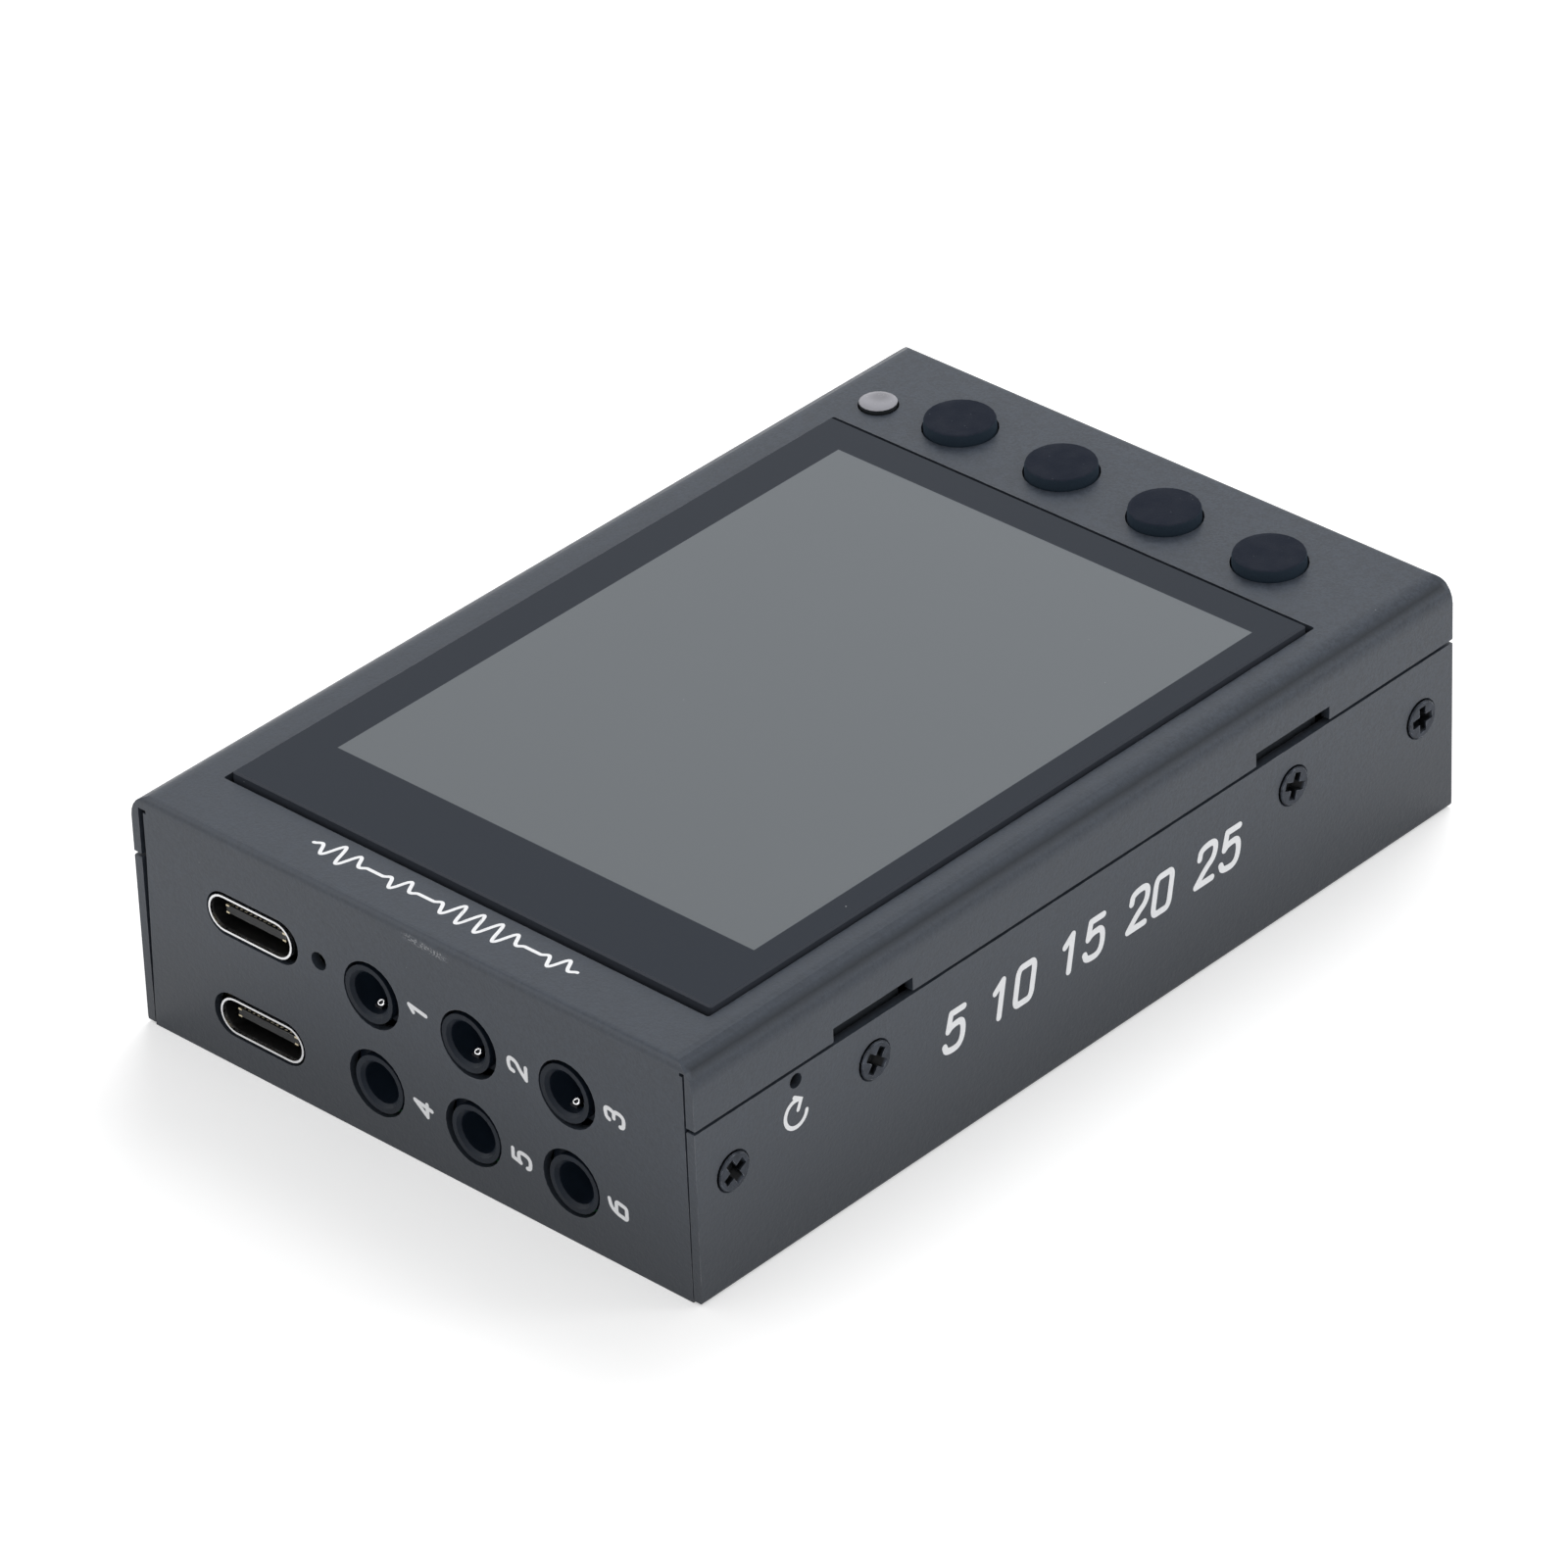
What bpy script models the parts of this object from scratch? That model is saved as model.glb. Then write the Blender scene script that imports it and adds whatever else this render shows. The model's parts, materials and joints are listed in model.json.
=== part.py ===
"""Pocket morse code trainer: a folded sheet-metal case round two stacked circuit boards.

Metres, +Z up. X runs across the case and Y along it, from the sockets at -Y to the buttons at +Y.
The origin is the middle of the footprint, on the surface that the case stands on.
"""

from math import cos, pi, radians, sin

import bmesh
import bpy
from mathutils import Matrix

# Case
CASE_LENGTH = 0.0874
CASE_WIDTH = 0.0584
CASE_HEIGHT = 0.0213
SHEET = 0.0008
CLEARANCE = 0.0003
SIDE_BEND = 0.0023
END_BEND = 0.0007
FLOOR_BEND = 0.00045
INNER_BEND = 0.0002
SEAM_HEIGHT = 0.0157
SEAM_CORNER = 0.00012
SLIT_LEFT = 0.00052
SLIT_RIGHT = 0.00018
SLIT_FOOT = 0.00006
SLIT_TOP_LEFT = 0.0013
SLIT_TOP_RIGHT = 0.0008
RELIEF_HEIGHT = 0.0003
RELIEF_WIDTH = 0.0003
NICK_LENGTH = 0.0005
NICK_HEIGHT = 0.0002
NOTCH_LENGTH = 0.0088
NOTCH_HEIGHT = 0.0012
NOTCH_INSET = 0.0195

# Tabs inside the case that take its screws
TAB_GAP = 0.00035
TAB_WIDTH = 0.0080
TAB_FOOT = 0.0024
TAB_EMBED = 0.0004
JOGGLE_RISE = 0.0014
CORNER_TAB_REACH = 0.0072
CORNER_TAB_HEIGHT = 0.0058

# Countersunk screws of the case
CASE_SCREW_HEAD = 0.00162
CASE_SCREW_PROUD = 0.0002
CASE_SCREW_ROUND = 0.00009
CASE_SCREW_SHANK = 0.00095
CASE_SCREW_LENGTH = 0.0027
SCREW_HOLE = 0.0012
COUNTERSINK = 0.00178
MIDDLE_SCREW_HEIGHT = 0.0118
CORNER_SCREW_INSET = 0.0039
CORNER_SCREW_HEIGHT = 0.0102
RECESS_REACH = 0.00104
RECESS_ARM = 0.00037
RECESS_DEPTH = 0.0008
RECESS_FLAT = 0.00025

# Display: the margins of its opening in the top panel, and the gaps round its glass
DISPLAY_LEFT_MARGIN = 0.00438
DISPLAY_RIGHT_MARGIN = 0.00366
DISPLAY_NEAR_MARGIN = 0.00575
DISPLAY_FAR_MARGIN = 0.01245
DISPLAY_CORNER = 0.0002
GLASS_LEFT_GAP = 0.00048
GLASS_RIGHT_GAP = 0.0002
GLASS_NEAR_GAP = 0.0005
GLASS_FAR_GAP = 0.0008
GLASS_THICKNESS = 0.0011
GLASS_PROUD = 0.00055
GLASS_EDGE = 0.00015
ACTIVE_LENGTH = 0.0584
ACTIVE_WIDTH = 0.0440
ACTIVE_PLACE_Y = -0.0007
ACTIVE_SINK = 0.00015

# Boards
BOARD_SIDE_GAP = 0.0015
BOARD_END_GAP = 0.0005
BOARD_CORNER = 0.0010
UPPER_BOARD_BASE = 0.0160
UPPER_BOARD_THICKNESS = 0.0012
LOWER_BOARD_BASE = 0.00175
LOWER_BOARD_THICKNESS = 0.0010

# Spacers, the studs above them and the screws below them
SPACER_SIDE_INSET = 0.0028
SPACER_END_INSET = 0.0025
SPACER_FLATS = 0.0040
SPACER_BORE_DEPTH = 0.0050
THREAD_RADIUS = 0.00095
THREAD_CLEARANCE = 0.00025
STUD_RADIUS = 0.0020
STUD_THREAD_DEPTH = 0.0022
WAFER_HEAD = 0.0020
WAFER_THICKNESS = 0.00045
WAFER_GAP = 0.00015
WAFER_SCREW_REACH = 0.0042
SLOT_WIDTH = 0.0005
SLOT_LENGTH = 0.0026
SLOT_DEPTH = 0.00025

# Button caps and their switches
BUTTON_COUNT = 4
BUTTON_LEFT_INSET = 0.0134
BUTTON_RIGHT_INSET = 0.0126
BUTTON_END_INSET = 0.00725
BUTTON_RADIUS = 0.0030
BUTTON_TAPER = 0.00003
BUTTON_EDGE = 0.0002
BUTTON_PROUD = 0.00095
BUTTON_FLANGE = 0.0036
BUTTON_FLANGE_THICKNESS = 0.0005
BUTTON_HOLE_CLEARANCE = 0.00016
BUTTON_TRAVEL = 0.00025
SWITCH_WIDTH = 0.0060
SWITCH_LIMIT_GAP = 0.00015
SWITCH_WELL = 0.00175
SWITCH_WELL_DEPTH = 0.0010
SWITCH_CORNER = 0.0005
PLUNGER_RADIUS = 0.00145
PLUNGER_DEPTH = 0.0005

# Status LED
LED_SIDE_INSET = 0.00595
LED_END_INSET = 0.0088
LED_RADIUS = 0.00158
LED_PROUD = 0.00052
LED_DOME = 0.00018
LED_HOLE_CLEARANCE = 0.00012
LED_FLANGE = 0.00195
LED_FLANGE_THICKNESS = 0.0008

# Jacks
JACK_COLUMNS = 3
JACK_RIGHT_INSET = 0.01296
JACK_FIRST_SHARE = 0.3837
JACK_HOLE = 0.0029
JACK_BARREL = 0.00248
JACK_BORE = 0.00178
JACK_BORE_DEPTH = 0.0118
JACK_MOUTH = 0.00028
JACK_BLOCK_WIDTH = 0.0061
JACK_BLOCK_HEIGHT = 0.0045
JACK_BLOCK_LENGTH = 0.0115
JACK_UPPER_HEIGHT = 0.0133
JACK_LOWER_HEIGHT = 0.0053
JACK_SLOT_WIDTH = 0.0012
JACK_SLOT_START = 0.0013
JACK_SLOT_END = 0.0102
CONTACT_WIDTH = 0.0007
CONTACT_THICKNESS = 0.00022
CONTACT_DIP = 0.0004
CONTACT_TIP = 0.0009
CONTACT_NOSE = 0.0005
CONTACT_RISE = 0.0009

# Offset of each board's sockets from the holes in the case
UPPER_SOCKET_OFFSET = -0.00025
LOWER_SOCKET_OFFSET = 0.00025

# USB-C sockets
USB_LEFT_INSET = 0.0126
USB_UPPER_HEIGHT = 0.0140
USB_LOWER_HEIGHT = 0.0047
USB_HOLE_WIDTH = 0.0098
USB_HOLE_HEIGHT = 0.0039
USB_SHELL_WIDTH = 0.00894
USB_SHELL_HEIGHT = 0.00326
USB_SHELL_WALL = 0.00018
USB_SHELL_DEPTH = 0.0073
USB_TONGUE_WIDTH = 0.0064
USB_TONGUE_THICKNESS = 0.0007
USB_TONGUE_SINK = 0.0007
USB_BLOCK_DEPTH = 0.0020
USB_BLOCK_GAP = 0.00010

# Charging light behind its hole
CHARGE_HOLE = 0.0008
CHARGE_SHARE = 0.52
CHARGE_HEIGHT = 0.01405
CHARGE_WIDTH = 0.0011
CHARGE_DEPTH = 0.0012
CHARGE_LENS = 0.0005

# Reset switch behind its hole
RESET_HOLE = 0.00065
RESET_END_INSET = 0.0109
RESET_HEIGHT = 0.0145
RESET_BLOCK_LENGTH = 0.0038
RESET_BLOCK_DEPTH = 0.0034
RESET_BLOCK_GAP = 0.0021
RESET_PLUNGER_RADIUS = 0.00075
RESET_PLUNGER_PROUD = 0.0014
RESET_PLUNGER_DEPTH = 0.0008
RESET_WELL_CLEARANCE = 0.00025
RESET_TRAVEL = 0.00025

# Battery and its lead
BATTERY_LEFT_MARGIN = 0.0102
BATTERY_RIGHT_MARGIN = 0.0082
BATTERY_NEAR_MARGIN = 0.0177
BATTERY_FAR_MARGIN = 0.0197
BATTERY_THICKNESS = 0.0060
BATTERY_EDGE = 0.0014
SOCKET_WIDTH = 0.0060
SOCKET_LENGTH = 0.0048
SOCKET_HEIGHT = 0.0042
SOCKET_SIDE_INSET = 0.0100
SOCKET_FAR = 0.0044
LEAD_RADIUS = 0.0005
LEAD_PITCH = 0.0020
LEAD_RUN_HEIGHT = 0.0035

# Sounder
SOUNDER_WIDTH = 0.0085
SOUNDER_HEIGHT = 0.0030
SOUNDER_CORNER = 0.0008
SOUNDER_HOLE = 0.0010
SOUNDER_HOLE_DEPTH = 0.0015
SOUNDER_SIDE_INSET = 0.0182
SOUNDER_END_INSET = 0.0102

# Header and socket between the boards
LINK_PINS = 8
LINK_PITCH = 0.00254
LINK_WIDTH = 0.0050
LINK_PIN = 0.00064
LINK_HEADER_HEIGHT = 0.0025
LINK_SOCKET_HEIGHT = 0.0085
LINK_PIN_DEPTH = 0.0045
LINK_WELL_DEPTH = 0.0055
LINK_WELL_WIDTH = 0.0012
LINK_SIDE_INSET = 0.0033
LINK_PLACE_Y = 0.0040

# Cutters run past the faces that they cut by this much
OVERRUN = 0.0010

# Steps of a quarter circle in a bend or a rounded corner, and of a full circle
BEND_STEPS = 6
CORNER_STEPS = 4
HOLE_STEPS = 28
FINE_STEPS = 20
SMALL_STEPS = 12
SHARP_ANGLE = radians(35)

# Places worked out from the sizes above
HALF_LENGTH = CASE_LENGTH / 2
HALF_WIDTH = CASE_WIDTH / 2
INNER_WIDTH = HALF_WIDTH - SHEET
INNER_LENGTH = HALF_LENGTH - SHEET
PANEL_UNDERSIDE = CASE_HEIGHT - SHEET
TAB_FACE = INNER_WIDTH - TAB_GAP
NOTCH_PLACE = HALF_LENGTH - NOTCH_INSET
CORNER_SCREW_PLACE = HALF_LENGTH - CORNER_SCREW_INSET

DISPLAY_WIDTH = CASE_WIDTH - DISPLAY_LEFT_MARGIN - DISPLAY_RIGHT_MARGIN
DISPLAY_LENGTH = CASE_LENGTH - DISPLAY_NEAR_MARGIN - DISPLAY_FAR_MARGIN
DISPLAY_PLACE_X = (DISPLAY_LEFT_MARGIN - DISPLAY_RIGHT_MARGIN) / 2
DISPLAY_PLACE_Y = (DISPLAY_NEAR_MARGIN - DISPLAY_FAR_MARGIN) / 2
GLASS_WIDTH = DISPLAY_WIDTH - GLASS_LEFT_GAP - GLASS_RIGHT_GAP
GLASS_LENGTH = DISPLAY_LENGTH - GLASS_NEAR_GAP - GLASS_FAR_GAP
GLASS_PLACE_X = DISPLAY_PLACE_X + (GLASS_LEFT_GAP - GLASS_RIGHT_GAP) / 2
GLASS_PLACE_Y = DISPLAY_PLACE_Y + (GLASS_NEAR_GAP - GLASS_FAR_GAP) / 2

BOARD_WIDTH = 2 * (INNER_WIDTH - BOARD_SIDE_GAP)
BOARD_LENGTH = 2 * (INNER_LENGTH - BOARD_END_GAP)
SPACER_PLACE_X = BOARD_WIDTH / 2 - SPACER_SIDE_INSET
SPACER_PLACE_Y = BOARD_LENGTH / 2 - SPACER_END_INSET
LINK_PLACE_X = LINK_SIDE_INSET - BOARD_WIDTH / 2

LED_PLACE = (LED_SIDE_INSET - HALF_WIDTH, HALF_LENGTH - LED_END_INSET)
USB_PLACE = USB_LEFT_INSET - HALF_WIDTH
JACK_LAST = HALF_WIDTH - JACK_RIGHT_INSET
JACK_FIRST = USB_PLACE + JACK_FIRST_SHARE * (JACK_LAST - USB_PLACE)
CHARGE_GAP_START = USB_PLACE + USB_SHELL_WIDTH / 2
CHARGE_GAP_END = JACK_FIRST - JACK_BLOCK_WIDTH / 2
CHARGE_PLACE = CHARGE_GAP_START + CHARGE_SHARE * (CHARGE_GAP_END - CHARGE_GAP_START)
RESET_PLACE = RESET_END_INSET - HALF_LENGTH
RESET_BLOCK_FACE = INNER_WIDTH - RESET_BLOCK_GAP

BATTERY_WIDTH = CASE_WIDTH - BATTERY_LEFT_MARGIN - BATTERY_RIGHT_MARGIN
BATTERY_PLACE_X = (BATTERY_LEFT_MARGIN - BATTERY_RIGHT_MARGIN) / 2
BATTERY_NEAR_END = BATTERY_NEAR_MARGIN - HALF_LENGTH
BATTERY_FAR_END = HALF_LENGTH - BATTERY_FAR_MARGIN
SOCKET_PLACE = BATTERY_PLACE_X - BATTERY_WIDTH / 2 + SOCKET_SIDE_INSET
SOUNDER_PLACE = (HALF_WIDTH - SOUNDER_SIDE_INSET, HALF_LENGTH - SOUNDER_END_INSET)

UPPER_BOARD_TOP = UPPER_BOARD_BASE + UPPER_BOARD_THICKNESS
LOWER_BOARD_TOP = LOWER_BOARD_BASE + LOWER_BOARD_THICKNESS
UPPER_HANG = UPPER_BOARD_BASE - CLEARANCE
LOWER_SEAT = LOWER_BOARD_TOP + CLEARANCE
CAP_FLANGE_TOP = PANEL_UNDERSIDE - CLEARANCE
CAP_FLANGE_BASE = CAP_FLANGE_TOP - BUTTON_FLANGE_THICKNESS
SWITCH_TOP = CAP_FLANGE_BASE - BUTTON_TRAVEL - SWITCH_LIMIT_GAP
SPACER_BASE = LOWER_BOARD_TOP + CLEARANCE
SPACER_TOP = UPPER_BOARD_BASE - CLEARANCE
STUD_BASE = UPPER_BOARD_TOP + CLEARANCE
THREAD_HOLE = THREAD_RADIUS + THREAD_CLEARANCE
SIDES = (1, -1)


def clear_scene():
    for item in list(bpy.data.objects):
        bpy.data.objects.remove(item, do_unlink=True)


def material(name, colour, roughness, metallic):
    finish = bpy.data.materials.new(name)
    finish.use_nodes = True
    shader = finish.node_tree.nodes["Principled BSDF"]
    shader.inputs["Base Color"].default_value = (*colour, 1)
    shader.inputs["Roughness"].default_value = roughness
    shader.inputs["Metallic"].default_value = metallic
    return finish


# Outlines, as lists of 2-D points


def arc(middle, radius, start, end, steps):
    """Points on an arc about middle, from the start angle to the end angle in degrees."""
    angles = [radians(start + (end - start) * step / steps) for step in range(steps + 1)]
    return [(middle[0] + radius * cos(a), middle[1] + radius * sin(a)) for a in angles]


def rectangle(low_x, high_x, low_y, high_y):
    return [(low_x, low_y), (high_x, low_y), (high_x, high_y), (low_x, high_y)]


def rounded_rectangle(middle, width, height, radius, steps=CORNER_STEPS):
    x = width / 2 - radius
    y = height / 2 - radius
    points = []
    for sign_x, sign_y, start in ((1, 1, 0), (-1, 1, 90), (-1, -1, 180), (1, -1, 270)):
        corner = (middle[0] + sign_x * x, middle[1] + sign_y * y)
        points += arc(corner, radius, start, start + 90, steps)
    return points


def circle(middle, radius, steps=HOLE_STEPS):
    return arc(middle, radius, 0, 360, steps)[:-1]


def hexagon(middle, across_flats):
    """A hexagon with two flats square to the first axis."""
    return arc(middle, across_flats / 2 / cos(pi / 6), 30, 390, 6)[:-1]


# Solids, added to a bmesh


AXES = {
    "X": lambda u, v, w: (w, u, v),
    "Y": lambda u, v, w: (u, w, v),
    "Z": lambda u, v, w: (u, v, w),
}


def add_loft(mesh, sections, axis="Z"):
    """Join outlines of as many points, each at its own height along an axis, and close both ends."""
    place = AXES[axis]
    loops = [[mesh.verts.new(place(u, v, height)) for u, v in outline] for outline, height in sections]
    mesh.faces.new(loops[0])
    mesh.faces.new(loops[-1])
    for low, high in zip(loops, loops[1:]):
        for i in range(len(low)):
            j = (i + 1) % len(low)
            mesh.faces.new((low[i], low[j], high[j], high[i]))


def add_prism(mesh, outline, low, high, axis="Z"):
    """Extrude an outline along an axis. The outline's plane is YZ, XZ or XY."""
    add_loft(mesh, ((outline, low), (outline, high)), axis)


def add_tube(mesh, outer, inner, low, high, axis="Z"):
    """Extrude the ring between two outlines of as many points."""
    place = AXES[axis]
    loops = []
    for outline, height in ((outer, low), (outer, high), (inner, high), (inner, low)):
        loops.append([mesh.verts.new(place(u, v, height)) for u, v in outline])
    for first, second in zip(loops, loops[1:] + loops[:1]):
        for i in range(len(outer)):
            j = (i + 1) % len(outer)
            mesh.faces.new((first[i], first[j], second[j], second[i]))


def add_turned(mesh, profile, steps=HOLE_STEPS, matrix=None):
    """Turn a profile of (radius, height) points about Z. Its ends close on the axis."""
    rings = []
    for radius, height in profile:
        if radius == 0:
            rings.append([mesh.verts.new((0, 0, height))])
        else:
            rings.append([mesh.verts.new((x, y, height)) for x, y in circle((0, 0), radius, steps)])
    for first, second in zip(rings, rings[1:]):
        for i in range(steps):
            j = (i + 1) % steps
            corners = [first[i % len(first)], first[j % len(first)]]
            corners += [second[j % len(second)], second[i % len(second)]]
            mesh.faces.new(list(dict.fromkeys(corners)))
    if matrix:
        made = [vert for ring in rings for vert in ring]
        bmesh.ops.transform(mesh, matrix=matrix, verts=made)


def solid(name, build, finish=None, location=(0, 0, 0), rotation=(0, 0, 0)):
    """Make an object from a function that fills a bmesh."""
    mesh = bmesh.new()
    build(mesh)
    bmesh.ops.recalc_face_normals(mesh, faces=mesh.faces)
    data = bpy.data.meshes.new(name)
    mesh.to_mesh(data)
    mesh.free()
    return place_mesh(name, data, finish, location, rotation)


def place_mesh(name, data, finish=None, location=(0, 0, 0), rotation=(0, 0, 0)):
    item = bpy.data.objects.new(name, data)
    item.location = location
    item.rotation_euler = rotation
    bpy.context.collection.objects.link(item)
    if finish and not data.materials:
        data.materials.append(finish)
    return item


def combine(item, build, operation, label):
    """Cut from an object, or join to it, the solid that a function builds."""
    tool = solid(item.name + "_" + label, build)
    tool.hide_render = True
    tool.display_type = "WIRE"
    tool.matrix_world = item.matrix_world
    tool.location = item.location
    tool.rotation_euler = item.rotation_euler
    modifier = item.modifiers.new(label, "BOOLEAN")
    modifier.operation = operation
    modifier.solver = "EXACT"
    modifier.object = tool


def settle(item):
    """Apply an object's modifiers, drop the solids that they used, and shade its round faces smooth."""
    bpy.context.view_layer.update()
    evaluated = item.evaluated_get(bpy.context.evaluated_depsgraph_get())
    data = bpy.data.meshes.new_from_object(evaluated)
    data.name = item.name
    for modifier in list(item.modifiers):
        bpy.data.objects.remove(modifier.object, do_unlink=True)
    item.modifiers.clear()
    item.data = data
    data.shade_smooth()
    data.set_sharp_from_angle(angle=SHARP_ANGLE)
    return item


def pattern(item):
    """The settled mesh of an object that only stands for its copies."""
    data = settle(item).data
    bpy.data.objects.remove(item, do_unlink=True)
    return data


# Places that several pieces share


def button_places():
    first = BUTTON_LEFT_INSET - HALF_WIDTH
    pitch = (HALF_WIDTH - BUTTON_RIGHT_INSET - first) / (BUTTON_COUNT - 1)
    return [(first + pitch * i, HALF_LENGTH - BUTTON_END_INSET) for i in range(BUTTON_COUNT)]


def jack_places():
    """Hole middles in X and Z, upper row first, each with the offset of its socket."""
    rows = ((JACK_UPPER_HEIGHT, UPPER_SOCKET_OFFSET), (JACK_LOWER_HEIGHT, LOWER_SOCKET_OFFSET))
    pitch = (JACK_LAST - JACK_FIRST) / (JACK_COLUMNS - 1)
    columns = [JACK_FIRST + pitch * i for i in range(JACK_COLUMNS)]
    return [(x, height, offset) for height, offset in rows for x in columns]


def spacer_places():
    return [(SPACER_PLACE_X * i, SPACER_PLACE_Y * j) for j in SIDES for i in SIDES]


def case_screw_places():
    """Side, Y and Z of each countersunk screw."""
    places = []
    for side in SIDES:
        for end in SIDES:
            places.append((side, end * CORNER_SCREW_PLACE, CORNER_SCREW_HEIGHT))
            places.append((side, end * NOTCH_PLACE, MIDDLE_SCREW_HEIGHT))
    return places


# Case


def add_end_bends(mesh):
    """What is taken off the top edge at each end to leave the round of the bend."""
    for end in SIDES:
        middle = (HALF_LENGTH - END_BEND, CASE_HEIGHT - END_BEND)
        outline = arc(middle, END_BEND, 0, 90, BEND_STEPS)
        outline.append((HALF_LENGTH - END_BEND, CASE_HEIGHT + OVERRUN))
        outline.append((HALF_LENGTH + OVERRUN, CASE_HEIGHT + OVERRUN))
        outline.append((HALF_LENGTH + OVERRUN, CASE_HEIGHT - END_BEND))
        outline = [(end * y, z) for y, z in outline]
        add_prism(mesh, outline, -HALF_WIDTH - OVERRUN, HALF_WIDTH + OVERRUN, "X")


def add_hood(mesh, half_width, half_length, base, top, bend):
    """A block with its two long top edges rounded."""
    outline = [(-half_width, base), (half_width, base)]
    outline += arc((half_width - bend, top - bend), bend, 0, 90, BEND_STEPS)
    outline += arc((bend - half_width, top - bend), bend, 90, 180, BEND_STEPS)
    add_prism(mesh, outline, -half_length, half_length, "Y")


def add_below_seam(mesh):
    """What is taken off each long side below the seam, with its notches and round corners."""
    corner = HALF_LENGTH - SEAM_CORNER
    outline = [(-HALF_LENGTH - OVERRUN, -OVERRUN)]
    outline.append((-HALF_LENGTH - OVERRUN, SEAM_HEIGHT + SEAM_CORNER))
    outline += arc((-corner, SEAM_HEIGHT + SEAM_CORNER), SEAM_CORNER, 180, 270, CORNER_STEPS)
    for end in (-1, 1):
        start = end * NOTCH_PLACE - NOTCH_LENGTH / 2
        stop = end * NOTCH_PLACE + NOTCH_LENGTH / 2
        outline += [(start, SEAM_HEIGHT), (start, SEAM_HEIGHT + NOTCH_HEIGHT)]
        outline += [(stop, SEAM_HEIGHT + NOTCH_HEIGHT), (stop, SEAM_HEIGHT)]
    outline += arc((corner, SEAM_HEIGHT + SEAM_CORNER), SEAM_CORNER, 270, 360, CORNER_STEPS)
    outline.append((HALF_LENGTH + OVERRUN, SEAM_HEIGHT + SEAM_CORNER))
    outline.append((HALF_LENGTH + OVERRUN, -OVERRUN))
    near = INNER_WIDTH - SLIT_FOOT / 2
    add_prism(mesh, outline, near, HALF_WIDTH + OVERRUN, "X")
    add_prism(mesh, outline, -HALF_WIDTH - OVERRUN, -near, "X")


def add_corner_slits(mesh):
    """The slits beside the end flanges, which close towards the foot, with a bend relief at the top."""
    for side, gap, drop in ((1, SLIT_RIGHT, SLIT_TOP_RIGHT), (-1, SLIT_LEFT, SLIT_TOP_LEFT)):
        top = CASE_HEIGHT - drop
        edge = INNER_WIDTH - gap
        taper = (gap - SLIT_FOOT) / SEAM_HEIGHT
        outline = [(INNER_WIDTH - SLIT_FOOT + taper * OVERRUN, -OVERRUN), (INNER_WIDTH, -OVERRUN)]
        outline += [(INNER_WIDTH, top), (edge - RELIEF_WIDTH, top)]
        outline += [(edge - RELIEF_WIDTH, top - RELIEF_HEIGHT), (edge, top - RELIEF_HEIGHT)]
        outline.append((edge, SEAM_HEIGHT))
        outline = [(side * x, z) for x, z in outline]
        add_prism(mesh, outline, INNER_LENGTH - OVERRUN, HALF_LENGTH + OVERRUN, "Y")
        add_prism(mesh, outline, -HALF_LENGTH - OVERRUN, OVERRUN - INNER_LENGTH, "Y")


def add_top_openings(mesh):
    low = PANEL_UNDERSIDE - OVERRUN
    high = CASE_HEIGHT + OVERRUN
    middle = (DISPLAY_PLACE_X, DISPLAY_PLACE_Y)
    outline = rounded_rectangle(middle, DISPLAY_WIDTH, DISPLAY_LENGTH, DISPLAY_CORNER)
    add_prism(mesh, outline, low, high)
    for place in button_places():
        add_prism(mesh, circle(place, BUTTON_RADIUS + BUTTON_HOLE_CLEARANCE), low, high)
    add_prism(mesh, circle(LED_PLACE, LED_RADIUS + LED_HOLE_CLEARANCE), low, high)


def add_end_openings(mesh):
    low = -HALF_LENGTH - OVERRUN
    high = OVERRUN - INNER_LENGTH
    for x, height, _ in jack_places():
        add_prism(mesh, circle((x, height), JACK_HOLE), low, high, "Y")
    for height in (USB_UPPER_HEIGHT, USB_LOWER_HEIGHT):
        middle = (USB_PLACE, height)
        outline = rounded_rectangle(middle, USB_HOLE_WIDTH, USB_HOLE_HEIGHT, USB_HOLE_HEIGHT / 2, 8)
        add_prism(mesh, outline, low, high, "Y")


def add_charge_opening(mesh):
    outline = circle((CHARGE_PLACE, CHARGE_HEIGHT), CHARGE_HOLE, SMALL_STEPS)
    add_prism(mesh, outline, -HALF_LENGTH - OVERRUN, OVERRUN - INNER_LENGTH, "Y")


def add_tabs(mesh):
    """Joggled tabs below the notches and return tabs on the end flanges."""
    notch_top = SEAM_HEIGHT + NOTCH_HEIGHT
    foot = MIDDLE_SCREW_HEIGHT - TAB_FOOT
    reach = INNER_WIDTH + TAB_EMBED
    bend = notch_top - TAB_EMBED
    joggle = [(TAB_FACE - SHEET, foot), (TAB_FACE, foot), (TAB_FACE, bend)]
    joggle += [(reach, bend + TAB_EMBED + TAB_EMBED), (reach, bend + JOGGLE_RISE)]
    joggle += [(INNER_WIDTH - TAB_EMBED, bend + JOGGLE_RISE), (TAB_FACE - SHEET, bend)]
    half_tab = TAB_WIDTH / 2
    low = CORNER_SCREW_HEIGHT - CORNER_TAB_HEIGHT / 2
    high = CORNER_SCREW_HEIGHT + CORNER_TAB_HEIGHT / 2
    embedded = INNER_LENGTH + TAB_EMBED
    for side in SIDES:
        for end in SIDES:
            outline = [(side * x, z) for x, z in joggle]
            add_prism(mesh, outline, end * NOTCH_PLACE - half_tab, end * NOTCH_PLACE + half_tab, "Y")
            outline = rectangle(TAB_FACE - SHEET, TAB_FACE, HALF_LENGTH - CORNER_TAB_REACH, embedded)
            add_prism(mesh, [(side * x, end * y) for x, y in outline], low, high)


def add_studs(mesh):
    """Pressed studs under the top panel, which the spacers screw into."""
    for place in spacer_places():
        add_prism(mesh, circle(place, STUD_RADIUS, SMALL_STEPS), STUD_BASE, PANEL_UNDERSIDE + TAB_EMBED)


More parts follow.
